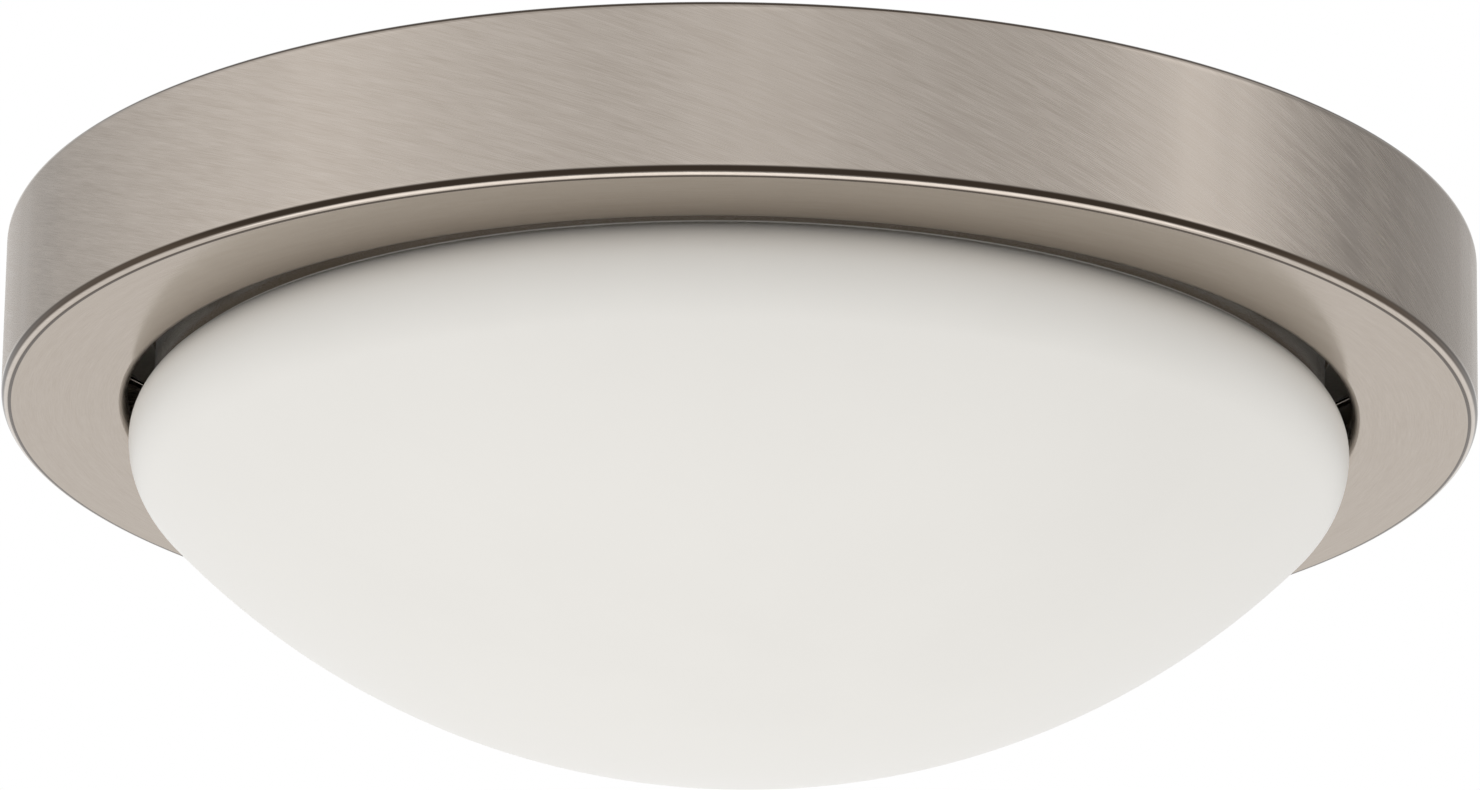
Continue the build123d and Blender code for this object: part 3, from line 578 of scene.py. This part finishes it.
enamel = material(
    "white_enamel", enamel_white, enamel_shade, 0.22, grain=900, bump=0.00002, spread=0.05, coat=enamel_coat
)
plate = smooth_copy("back_plate", "enamel_plate", punched_edge)
finish(plate, enamel, "back_plate")

# ---- Rivets
# Zinc-plated steel rivets with a domed head below and a closed tail above. Those of the pan's flange end
# flush on the ceiling side. The others hold the spring clips, the lampholder angles and the leads' strap.
zinc_light = (0.66, 0.68, 0.69, 1)
zinc_dark = (0.50, 0.52, 0.54, 1)
rivet_shank, rivet_head, head_height = 0.0016, 0.003, 0.0011
pan_rivet_count, clip_count = 6, 3
plate_sheet, clip_sheet, bracket_sheet, saddle_sheet = 0.0008, 0.0005, 0.0012, 0.0006

zinc = material("zinc_steel", zinc_light, zinc_dark, 0.34, metallic=1, grain=260, bump=0.00001)
deck_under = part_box("back_plate")[0].z
deck_top = deck_under + plate_sheet


def dome(radius, height, level, way, steps=7):
    """Half section of a domed head from its rim to its middle, on a level and bulging up or down."""
    ball = (radius**2 + height**2) / (2 * height)
    edge = math.asin(radius / ball)
    points = []
    for i in range(steps + 1):
        angle = edge * (1 - i / steps)
        rise = ball * math.cos(angle) - ball + height
        points.append((max(ball * math.sin(angle), on_axis), level + way * rise))
    return points


def rivet(low, high, tail=True):
    """A rivet through sheets between two levels."""
    outline = dome(rivet_head, head_height, low, -1)[::-1]
    outline += [(rivet_shank, low), (rivet_shank, high)]
    if tail:
        outline += dome(rivet_head, head_height, high, 1)
    else:
        outline += [(on_axis, high)]
    piece = turned("rivet", outline, 40)
    finish_mesh(piece)
    return piece


def copies(piece, places, name):
    """Joins a copy of the piece at each place, and takes the first one away."""
    for matrix in places:
        copy = shown_as(name, piece.data.copy())
        copy.data.transform(matrix)
        copy.select_set(True)
        bpy.context.view_layer.objects.active = copy
    piece.select_set(False)
    bpy.ops.object.join()
    joined = bpy.context.object
    joined.name = name
    bpy.data.objects.remove(piece)
    return joined


def ring_of(count, radius):
    """Places on a circle about the light's axis, the first towards the back."""
    turns = [math.pi / 2 + math.tau * i / count for i in range(count)]
    return [Matrix.Rotation(turn, 4, "Z") @ Matrix.Translation((radius, 0, 0)) for turn in turns]


def head_centre(node):
    """Distance from the light's axis to the first rivet of a ring, whose head reaches furthest back."""
    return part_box(node)[1].y - rivet_head


clip_rivet = rivet(deck_under - clip_sheet, deck_top)
clip_rivets = copies(clip_rivet, ring_of(clip_count, head_centre("clip_rivets")), "clip_rivet_set")
finish(clip_rivets, zinc, "clip_rivets")
pan_rivet = rivet(-sheet - plate_sheet, 0, tail=False)
pan_rivets = copies(pan_rivet, ring_of(pan_rivet_count, pan_radius - flange / 2), "pan_rivet_set")
finish(pan_rivets, zinc, "pan_rivets")

# ---- Wire bushing
# Black nylon edge bushing, snapped into the wire hole so that the supply wires don't chafe.
bushing_web, bushing_lip, bushing_round = 0.0012, 0.0025, 0.0004
nylon_black = (0.035, 0.035, 0.035, 1)
nylon_worn = (0.055, 0.055, 0.055, 1)

bushing_low, bushing_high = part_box("wire_bushing")
bushing_outer = bushing_high.x
wire_hole = bushing_outer - bushing_lip
bushing_inner = wire_hole - bushing_web


def rounded_corner(corner_radius, corner_level, bend, start, steps=5):
    """Points of a quarter turn round the centre of a corner's arc, anticlockwise from an angle in degrees."""
    return arc(corner_radius, corner_level, bend, math.radians(start), math.radians(start + 90), steps)


def ring_section(inner, outer, low, high, bend, outside=(), top=(), steps=5):
    """Closed half section of a ring with rounded corners, and any points between those of a side."""
    points = rounded_corner(outer - bend, low + bend, bend, -90, steps) + list(outside)
    points += rounded_corner(outer - bend, high - bend, bend, 0, steps) + list(top)
    points += rounded_corner(inner + bend, high - bend, bend, 90, steps)
    points += rounded_corner(inner + bend, low + bend, bend, 180, steps)
    return points + points[:1]


groove = [(bushing_outer, deck_under), (wire_hole, deck_under)]
groove += [(wire_hole, deck_top), (bushing_outer, deck_top)]
outline = ring_section(bushing_inner, bushing_outer, bushing_low.z, bushing_high.z, bushing_round, groove)
bushing = turned("edge_bushing", outline, 96)
finish_mesh(bushing)
nylon = material("black_nylon", nylon_black, nylon_worn, 0.45, grain=900, bump=0.00002)
finish(bushing, nylon, "wire_bushing")

# ---- Insulation pad
# Mineral wool felt, cut to a ring and laid on the deck against the ceiling, to keep the lamps' heat off it.
wool_light = (0.80, 0.70, 0.42, 1)
wool_dark = (0.58, 0.46, 0.22, 1)
wool_step, wool_bend, wool_ruffle, pad_clearance = 0.003, 0.0015, 0.0007, 0.003
coarse_tufts, fine_tufts, coarse_ruffle, fine_ruffle, sideways = 160, 520, 0.6, 0.4, 0.3

pad_low, pad_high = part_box("insulation_pad")
bar_low, bar_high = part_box("crossbar")
pad_outer = pad_high.x - wool_ruffle
pad_inner = bar_high.x + pad_clearance + wool_ruffle
pad_top = pad_high.z - wool_ruffle
flat_width = pad_outer - pad_inner - 2 * wool_bend
count = int(flat_width / wool_step)
face = [(pad_inner + wool_bend + flat_width * i / count, pad_top) for i in range(1, count)]
outline = ring_section(pad_inner, pad_outer, pad_low.z, pad_top, wool_bend, top=face[::-1], steps=3)
pad = turned("wool_pad", outline, 192)
for vertex in pad.data.vertices:
    if vertex.co.z > pad_low.z + wool_bend / 2:
        coarse = noise.noise(vertex.co * coarse_tufts) * coarse_ruffle
        ruffle = coarse + noise.noise(vertex.co * fine_tufts) * fine_ruffle
        vertex.co += Vector((vertex.co.x, vertex.co.y, 0)).normalized() * ruffle * wool_ruffle * sideways
        vertex.co.z += ruffle * wool_ruffle
finish_mesh(pad)
wool = material("mineral_wool", wool_light, wool_dark, 0.92, grain=700, stretch=3, bump=0.0006)
finish(pad, wool, "insulation_pad")

# ---- Crossbar, studs and nuts
# Zinc-plated strap, punched with slots for the screws of the ceiling box. Two threaded studs hang from it
# through the back plate's keyholes, and a nut on each clamps the plate.
stud_radius, stud_pitch, stud_depth = 0.00205, 0.00079375, 0.00022
nut_flats, nut_height, nut_bevel = 0.0087, 0.004, 0.0005
stud_fit, stud_point, thread_end, bar_edge = 0.00005, 0.0005, 0.0002, 0.0002

crossbar = smooth_copy("crossbar", "slotted_strap", bar_edge)
finish(crossbar, zinc, "crossbar")


def cut_thread(piece, low, high, depth, pitch, run_out):
    """Moves the rings between two levels in and out, as a right-hand thread that fades at both ends."""
    for vertex in piece.data.vertices:
        level = vertex.co.z
        if low < level < high:
            fade = min(1, (level - low) / run_out, (high - level) / run_out)
            wave = math.cos(math.tau * level / pitch - math.atan2(vertex.co.y, vertex.co.x))
            radius = vertex.co.xy.length
            scale = (radius + depth * wave * fade) / radius
            vertex.co.x *= scale
            vertex.co.y *= scale


def rings(radius, low, high, step):
    """Points up a straight wall, close enough together to carry a thread."""
    count = max(1, round((high - low) / step))
    return [(radius, low + (high - low) * i / count) for i in range(count + 1)]


stud_low, stud_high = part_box("fixture_studs")
stud_x = stud_high.x - stud_radius
shank = stud_radius - stud_depth
outline = [(on_axis, stud_low.z), (shank - stud_point, stud_low.z)]
outline += rings(shank, stud_low.z + stud_point, stud_high.z, stud_pitch / 8)
stud = turned("stud", outline + [(on_axis, stud_high.z)], 20)
cut_thread(stud, stud_low.z + thread_end, bar_low.z, stud_depth, stud_pitch, stud_pitch)
finish_mesh(stud)
stud_places = [Matrix.Translation((side * stud_x, 0, 0)) for side in (-1, 1)]
studs = copies(stud, stud_places, "threaded_studs")
finish(studs, zinc, "fixture_studs")


def hexagonal(piece, to_flat, inside, top=math.inf):
    """Presses a round piece to six sides, outside a radius and under a level."""
    for vertex in piece.data.vertices:
        radius = vertex.co.xy.length
        if radius > inside and vertex.co.z < top:
            turn = math.atan2(vertex.co.y, vertex.co.x) % (math.pi / 3) - math.pi / 6
            flat = to_flat / math.cos(turn)
            if radius > flat:
                vertex.co.x *= flat / radius
                vertex.co.y *= flat / radius


corner = nut_flats / 2 / math.cos(math.pi / 6)
nut_low = deck_under - nut_height
hole = stud_radius + stud_fit
outline = [(hole, nut_low), (corner - nut_bevel, nut_low), (corner, nut_low + nut_bevel)]
outline += [(corner, deck_under - nut_bevel), (corner - nut_bevel, deck_under)]
outline += [(hole, deck_under), (hole, nut_low)]
nut = turned("nut", outline, 48)
hexagonal(nut, nut_flats / 2, hole + stud_fit)
finish_mesh(nut)
nuts = copies(nut, stud_places, "hexagon_nuts")
finish(nuts, zinc, "fixture_nuts")

# ---- Gasket and spring clips
# A white silicone ring, stuck under the deck, cushions the rim of the glass. Three clips of tempered strip
# hang from the deck, loop back up and end in a nose that snaps under the bead.
silicone_light = (0.78, 0.78, 0.75, 1)
silicone_dark = (0.68, 0.68, 0.65, 1)
spring_light = (0.42, 0.42, 0.44, 1)
spring_blue = (0.24, 0.26, 0.32, 1)
gasket_round, clip_edge = 0.0008, 0.0001

gasket_low, gasket_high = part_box("shade_gasket")
outline = ring_section(neck - glass_wall, gasket_high.x, gasket_low.z, gasket_high.z, gasket_round)
gasket = turned("gasket_ring", outline, 192)
finish_mesh(gasket)
silicone = material("white_silicone", silicone_light, silicone_dark, 0.6, grain=500, bump=0.00003)
finish(gasket, silicone, "shade_gasket")
spring = material("spring_steel", spring_light, spring_blue, 0.3, metallic=1, grain=120, bump=0.00001)
for number in range(1, clip_count + 1):
    clip = smooth_copy(f"shade_clip_{number}", f"spring_clip_{number}", clip_edge)
    finish(clip, spring, f"shade_clip_{number}")

# ---- Lampholders
# Glazed porcelain cups, each screwed to a zinc-plated angle that is riveted under the deck. A brass screw
# shell lines the cup, and a bent brass strip in its floor meets the lamp's centre contact.
porcelain_white = (0.80, 0.79, 0.75, 1)
porcelain_shade = (0.74, 0.72, 0.67, 1)
brass_light = (0.80, 0.62, 0.30, 1)
brass_dark = (0.62, 0.44, 0.18, 1)
holder_back, holder_bore, rim_round, back_round, glaze_coat = 0.008, 0.01395, 0.0012, 0.001, 0.6
bore_start, bore_end, bore_step = 0.001, 0.0004, 0.004
shell_radius, shell_hole, shell_sheet, shell_length, floor_bend = 0.01345, 0.007, 0.0004, 0.026, 0.0006
inch, threads_per_inch, thread_depth = 0.0254, 7, 0.00035
shell_thread_start, shell_thread_end, strip_edge, angle_edge = 0.002, 0.0008, 0.0001, 0.00015
# of a screw's head: slot width to its radius, slot depth, dome and rim to its height, and slot length
slot_width, slot_depth, dome_share, rim_share, slot_reach = 0.28, 0.5, 0.45, 0.55, 1.2
screw_turn = 0.6  # how far the screws of a cup are turned, in radians
screw_radius, screw_head, screw_head_height, screw_depth, screw_inset = 0.0015, 0.0028, 0.0018, 0.0055, 0.007
foot_middle = 0.009

lamp_pitch = inch / threads_per_inch
body_low, body_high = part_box("lampholder_1_body")
holder_radius = (body_high.z - body_low.z) / 2
holder_length = body_high.x - body_low.x
lamp_y, lamp_z = body_low.y + holder_radius, body_low.z + holder_radius


def holder_place(number):
    """Turns a piece made along Z so that it lies in a lampholder, its zero at the back of the porcelain."""
    turn = Matrix.Rotation(math.pi * (number - 1), 4, "Z")
    return turn @ Matrix.Translation((body_low.x, lamp_y, lamp_z)) @ Matrix.Rotation(math.pi / 2, 4, "Y")


def in_both(piece, label, made, node, body="fixture"):
    """Puts a finished copy of the piece in each lampholder. N in the node and the body is its number."""
    for number in (1, 2):
        copy = shown_as(f"lamp{number}_{label}", piece.data.copy())
        copy.data.transform(holder_place(number))
        finish(copy, made, node.replace("N", str(number)), body=body.replace("N", str(number)))
    bpy.data.objects.remove(piece)


def slotted(piece, level, width, depth, reach):
    """Cuts a screwdriver slot of a width and depth into the face of a head at a level."""
    bpy.ops.object.select_all(action="DESELECT")
    bpy.ops.mesh.primitive_cube_add(size=1, location=(0, 0, level))
    cutter = bpy.context.object
    cutter.scale = (2 * reach, width, 2 * depth)
    bpy.ops.object.transform_apply(location=True, rotation=True, scale=True)
    bpy.context.view_layer.objects.active = piece
    cut = piece.modifiers.new("slot", "BOOLEAN")
    cut.operation = "DIFFERENCE"
    cut.object = cutter
    bpy.ops.object.modifier_apply(modifier=cut.name)
    bpy.data.objects.remove(cutter)
    bpy.ops.object.select_all(action="DESELECT")
    piece.select_set(True)
    bpy.ops.object.shade_smooth_by_angle(angle=math.radians(35))


def screw(head, shank_radius, head_level, shank_end, way, thickness):
    """A screw with a domed, slotted head that seats on a level; way is 1 where the shank goes up."""
    outline = dome(head, thickness * dome_share, head_level - way * thickness * rim_share, -way)[::-1]
    outline += [(head, head_level), (shank_radius, head_level)]
    outline += [(shank_radius, shank_end), (on_axis, shank_end)]
    piece = turned("screw", outline, 48)
    finish_mesh(piece)
    face = head_level - way * thickness
    slotted(piece, face, head * slot_width, thickness * slot_depth, head * slot_reach)
    return piece


outline = [(on_axis, holder_back), (holder_bore, holder_back)]
outline += rings(holder_bore, holder_back + bore_start, holder_length - bore_end, bore_step)
outline += rounded_corner(holder_radius - rim_round, holder_length - rim_round, rim_round, 0, 6)[::-1]
outline += rounded_corner(holder_radius - back_round, back_round, back_round, -90, 5)[::-1] + [(on_axis, 0)]
cup = turned("cup", outline, 96)
finish_mesh(cup)
porcelain = material(
    "porcelain", porcelain_white, porcelain_shade, 0.14, grain=90, bump=0.00004, spread=0.04, coat=glaze_coat
)
in_both(cup, "porcelain", porcelain, "lampholder_N_body")

outline = [(shell_hole, holder_back), (shell_radius - floor_bend, holder_back)]
outline += rounded_corner(shell_radius - floor_bend, holder_back + floor_bend, floor_bend, -90, 4)[1:]
outline += rings(shell_radius, holder_back + floor_bend, holder_back + shell_length, lamp_pitch / 14)[1:]
shell = turned("shell", outline, 80)
thread_low = holder_back + shell_thread_start
thread_high = holder_back + shell_length - shell_thread_end
cut_thread(shell, thread_low, thread_high, thread_depth, lamp_pitch, lamp_pitch)
finish_mesh(shell, shell_sheet)
brass = material("brass", brass_light, brass_dark, 0.26, metallic=1, grain=220, bump=0.00001)
in_both(shell, "screw_shell", brass, "lampholder_N_shell")

for number in (1, 2):
    strip = smooth_copy(f"lampholder_{number}_contact", f"lamp{number}_contact_strip", strip_edge)
    finish(strip, brass, f"lampholder_{number}_contact")
    angle = smooth_copy(f"lampholder_{number}_bracket", f"lamp{number}_angle", angle_edge)
    finish(angle, zinc, f"lampholder_{number}_bracket")

screw_line = holder_radius - screw_inset
cup_screw = screw(screw_head, screw_radius, -bracket_sheet, screw_depth, 1, screw_head_height)
cup_places = [
    holder_place(number)
    @ Matrix.Translation((0, side * screw_line, 0))
    @ Matrix.Rotation(screw_turn * side, 4, "Z")
    for number in (1, 2)
    for side in (-1, 1)
]
cup_screws = copies(cup_screw, cup_places, "cup_screws")
finish(cup_screws, zinc, "lampholder_screws")

foot_places = [
    Matrix.Rotation(math.pi * (number - 1), 4, "Z")
    @ Matrix.Translation((body_low.x + foot_middle, lamp_y + side * holder_radius / 2, 0))
    for number in (1, 2)
    for side in (-1, 1)
]
foot_rivets = copies(rivet(deck_under - bracket_sheet, deck_top), foot_places, "foot_rivets")
finish(foot_rivets, zinc, "bracket_rivets")

# ---- Lamps
# Soft white lamps with a medium screw base: a blown envelope frosted inside, a rolled aluminium cap, black
# glass that insulates its end, and a solder button. The button rides on the body that travels, and the rest
# turns on it.
frost_white = (0.84, 0.84, 0.82, 1)
frost_shade = (0.78, 0.78, 0.76, 1)
cap_light = (0.72, 0.72, 0.72, 1)
cap_dark = (0.55, 0.55, 0.56, 1)
end_glass_black = (0.012, 0.012, 0.014, 1)
end_glass_shine = (0.03, 0.03, 0.035, 1)
solder_light = (0.58, 0.58, 0.57, 1)
solder_dark = (0.42, 0.42, 0.42, 1)
button_start, button_radius, button_height, button_dome = 0.011, 0.0048, 0.0016, 0.6
insulator_height, insulator_rim, rim_rise, edge_in, edge_down = 0.0028, 0.0008, 0.0002, 0.0003, 0.0004
cap_radius, cap_sheet, cap_step, cap_taper, cap_length = 0.013, 0.0004, 0.003, 0.0026, 0.024
cap_hole, cap_crest, crest_in, crest_rise = 0.007, 0.01265, 0.0004, 0.0005
thread_stop, thread_fade = 0.0035, 0.7
neck_turn, neck_taper, neck_rise = 0.0012, 0.0002, 0.0006
glass_neck, neck_inside, neck_proud, neck_in_cap, bulb_wall = 0.01255, 0.0115, 0.003, 0.006, 0.0008
ball_radius, flank_radius, ball_steps, flank_steps = 0.03, 0.0383, 40, 24

insulator_start = button_start + button_height
cap_start = insulator_start + insulator_height
cap_end = cap_start + cap_length
neck_end = cap_end + neck_proud
ball_centre = neck_end + math.sqrt((flank_radius + ball_radius) ** 2 - (flank_radius + glass_neck) ** 2)

bulge = button_height * button_dome
outline = dome(button_radius, bulge, button_start + bulge, -1)[::-1]
outline += [(button_radius, insulator_start), (on_axis, insulator_start)]
button = turned("button", outline, 40)
finish_mesh(button)
solder = material("solder", solder_light, solder_dark, 0.4, metallic=1, grain=500, bump=0.00005)
in_both(button, "solder_button", solder, "lamp_N_button", "lamp_N_tip")

cap_foot = cap_radius - cap_step
outline = [(on_axis, insulator_start), (button_radius, insulator_start)]
outline += [(button_radius + insulator_rim, insulator_start + rim_rise)]
outline += [(cap_foot - edge_in, cap_start - edge_down), (cap_foot, cap_start), (on_axis, cap_start)]
insulator = turned("insulator", outline, 64)
finish_mesh(insulator)
end_glass = material("black_glass", end_glass_black, end_glass_shine, 0.12, grain=300, spread=0.04)
in_both(insulator, "insulator", end_glass, "lamp_N_insulator", "lamp_N")

outline = [(cap_hole, cap_start), (cap_foot, cap_start), (cap_crest - crest_in, cap_start + cap_taper)]
outline += rings(cap_crest, cap_start + cap_taper + crest_rise, cap_end, lamp_pitch / 14)
cap = turned("cap", outline, 80)
thread_high = cap_end - thread_stop
cut_thread(cap, cap_start + cap_taper, thread_high, thread_depth, lamp_pitch, lamp_pitch * thread_fade)
finish_mesh(cap, cap_sheet)
aluminium = material("lamp_aluminium", cap_light, cap_dark, 0.3, metallic=1, grain=240, bump=0.00001)
in_both(cap, "screw_cap", aluminium, "lamp_N_cap", "lamp_N")

slope = math.atan2(ball_centre - neck_end, flank_radius + glass_neck)
outline = [(neck_inside, cap_end - neck_in_cap), (neck_inside, cap_end - neck_turn)]
outline += [(glass_neck - neck_taper, cap_end), (glass_neck, cap_end + neck_rise)]
for i in range(flank_steps + 1):
    bend = slope * i / flank_steps
    widening = flank_radius * (1 - math.cos(bend))
    outline.append((glass_neck + widening, neck_end + flank_radius * math.sin(bend)))
for i in range(1, ball_steps + 1):
    bend = slope + (math.pi / 2 - slope) * i / ball_steps
    outline.append((max(ball_radius * math.cos(bend), on_axis), ball_centre + ball_radius * math.sin(bend)))
bulb = turned("bulb", outline, 96)
finish_mesh(bulb, bulb_wall)
frosted = material("frosted_glass", frost_white, frost_shade, 0.3, grain=1400, bump=0.00001)
in_both(bulb, "envelope", frosted, "lamp_N_bulb", "lamp_N")

# ---- Terminal block
# Two-pole block moulded in ivory phenolic and screwed under the deck, with a brass screw over each way in.
# The green screw on the other side of the plate takes the earth wire.
phenolic_light = (0.74, 0.68, 0.53, 1)
phenolic_dark = (0.66, 0.60, 0.45, 1)
earth_green = (0.05, 0.30, 0.09, 1)
earth_shade = (0.03, 0.20, 0.06, 1)
pole_pitch, entry_middle, block_edge, pole_chamfer = 0.012, 0.0025, 0.0003, 0.0003
pole_turn = 50  # the slots' direction changes by this, in radians per metre along the block
ground_head, ground_washer, washer_sheet, ground_radius = 0.005, 0.0062, 0.001, 0.0024
head_bevel, head_rise, washer_bevel, under_washer = 0.0006, 0.0005, 0.8, 0.9
pole_slot, ground_slot = (0.0006, 0.0008, 0.002), (0.0014, 0.0012, ground_head * 1.3)  # width, depth, reach

block = smooth_copy("terminal_block", "moulded_block", block_edge)
phenolic = material("ivory_phenolic", phenolic_light, phenolic_dark, 0.38, grain=160, bump=0.00003)
finish(block, phenolic, "terminal_block")
block_low, block_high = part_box("terminal_block")
block_x, block_y = (block_low.x + block_high.x) / 2, (block_low.y + block_high.y) / 2

pole_low, pole_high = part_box("terminal_screws")
outline = [(on_axis, pole_low.z), (screw_radius - pole_chamfer, pole_low.z)]
outline += [(screw_radius, pole_low.z + pole_chamfer), (screw_radius, pole_high.z), (on_axis, pole_high.z)]
pole_screw = turned("pole_screw", outline, 40)
finish_mesh(pole_screw)
slotted(pole_screw, pole_low.z, *pole_slot)
pole_places = [
    Matrix.Translation((x, block_y + side * pole_pitch / 2, 0))
    @ Matrix.Rotation(x * pole_turn + side, 4, "Z")
    for x in (block_low.x + entry_middle, block_high.x - entry_middle)
    for side in (-1, 1)
]
pole_screws = copies(pole_screw, pole_places, "pole_screws")
finish(pole_screws, brass, "terminal_screws")

holding_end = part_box("block_screw")[1].z
holding = screw(screw_head, screw_radius, block_low.z, holding_end, 1, screw_head_height)
block_screw = copies(holding, [Matrix.Translation((block_x, block_y, 0))], "holding_screw")
finish(block_screw, zinc, "block_screw")

ground_low, ground_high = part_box("ground_screw")
outline = [(on_axis, ground_low.z), (ground_head - head_bevel, ground_low.z)]
outline += [(ground_head, ground_low.z + head_rise), (ground_head, deck_under - washer_sheet)]
outline += [(ground_washer, deck_under - washer_sheet * washer_bevel), (ground_washer, deck_under)]
outline += [(ground_radius, deck_under), (ground_radius, ground_high.z), (on_axis, ground_high.z)]
ground = turned("ground", outline, 48)
head_top = deck_under - washer_sheet * under_washer
hexagonal(ground, ground_head * math.cos(math.pi / 6), ground_head / 2, head_top)
finish_mesh(ground)
slotted(ground, ground_low.z, *ground_slot)
ground_screw = copies(ground, [Matrix.Translation((-block_x, -block_y, 0))], "earth_screw")
green = material("green_steel", earth_green, earth_shade, 0.36, metallic=0.4, grain=300, bump=0.00002)
finish(ground_screw, green, "ground_screw")

# ---- Leads and their strap
# Four silicone-covered leads, 2.4 mm thick, from the back of the porcelain to the block. A riveted strap
# holds the two long ones against the deck.
silicone_black = (0.022, 0.022, 0.024, 1)
silicone_grey = (0.04, 0.04, 0.042, 1)
lead_white = (0.76, 0.76, 0.74, 1)
lead_shade = (0.68, 0.68, 0.66, 1)
lead_radius, lead_spread, lead_lift, lead_socket, deck_gap = 0.0012, 0.006, 0.010, 0.004, 0.0002
entry_depth, entry_reach, saddle_inset, lead_pitch, saddle_x = 0.005, 0.008, 0.0425, 0.004, 0.036

strap = smooth_copy("lead_saddle", "lead_strap", punched_edge)
finish(strap, zinc, "lead_saddle")
strap_low, strap_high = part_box("saddle_rivet")
strap_place = Matrix.Translation((saddle_x, (strap_low.y + strap_high.y) / 2, 0))
strap_rivet = copies(rivet(deck_under - saddle_sheet, deck_top), [strap_place], "strap_rivet")
finish(strap_rivet, zinc, "saddle_rivet")

left, right = body_low.x, -body_low.x
near, far = lamp_y - lead_spread, lamp_y + lead_spread
socket_z = lamp_z + lead_lift
lead_z = deck_under - lead_radius - deck_gap
saddle_y = saddle_inset - (neck - glass_wall)
pole_z = (block_low.z + block_high.z) / 2
live_y, neutral_y = block_y + pole_pitch / 2, block_y - pole_pitch / 2
block_left, block_right = block_low.x, block_high.x
# of each lead: where it leaves its porcelain, where it enters the block, and the points between
routes = {
    "lead_1_live": ((left, near), (block_left, live_y), [
        (left - 0.012, near, socket_z),
        (left - 0.013, near - 0.024, lead_z - 0.0023),
        (left - 0.011, -0.014, lead_z - 0.0008),
        (left - 0.002, live_y + 0.001, lead_z - 0.0028),
    ]),
    "lead_1_neutral": ((left, far), (block_left, neutral_y), [
        (left - 0.016, far, socket_z),
        (left - 0.0175, far - 0.026, lead_z - 0.0023),
        (left - 0.016, -0.012, lead_z - 0.0008),
        (left - 0.005, neutral_y + 0.004, lead_z - 0.0028),
    ]),
    "lead_2_live": ((right, -far), (block_right, live_y), [
        (right + 0.012, -far, socket_z),
        (right + 0.009, -far - 0.018, lead_z - 0.0038),
        (right - 0.010, saddle_y + 0.005, lead_z - 0.0006),
        (saddle_x, saddle_y + lead_pitch / 2 - 0.0006, lead_z),
        (saddle_x - 0.044, saddle_y + 0.0035, lead_z - 0.0006),
        (block_right + 0.018, live_y - 0.024, lead_z - 0.0023),
    ]),
    "lead_2_neutral": ((right, -near), (block_right, neutral_y), [
        (right + 0.016, -near, socket_z),
        (right + 0.0135, -near - 0.028, lead_z - 0.0038),
        (right - 0.0075, saddle_y + 0.0015, lead_z - 0.0006),
        (saddle_x, saddle_y - lead_pitch / 2 - 0.0006, lead_z),
        (saddle_x - 0.046, saddle_y - 0.0005, lead_z - 0.0006),
        (block_right + 0.014, neutral_y - 0.017, lead_z - 0.0023),
    ]),
}
covers = {
    "live": material("black_insulation", silicone_black, silicone_grey, 0.42, grain=500, bump=0.00003),
    "neutral": material("white_insulation", lead_white, lead_shade, 0.42, grain=500, bump=0.00003),
}
for node, ((cup_x, cup_y), (entry_x, entry_y), between_ends) in routes.items():
    side = math.copysign(1, cup_x)
    entry = [(entry_x + side * reach, entry_y, pole_z) for reach in (entry_reach, -entry_depth)]
    points = [(cup_x - side * lead_socket, cup_y, socket_z), *between_ends, *entry]
    line = bpy.data.curves.new(f"{node}_line", "CURVE")
    line.dimensions = "3D"
    line.bevel_depth = lead_radius
    line.bevel_resolution = 5
    line.resolution_u = 14
    line.use_fill_caps = True
    spline = line.splines.new("NURBS")
    spline.points.add(len(points) - 1)
    for point, where in zip(spline.points, points):
        point.co = (*where, 1)
    spline.order_u = 3
    spline.use_endpoint_u = True
    finish(shown_as(f"{node}_wire", line), covers[node.split("_")[2]], node)
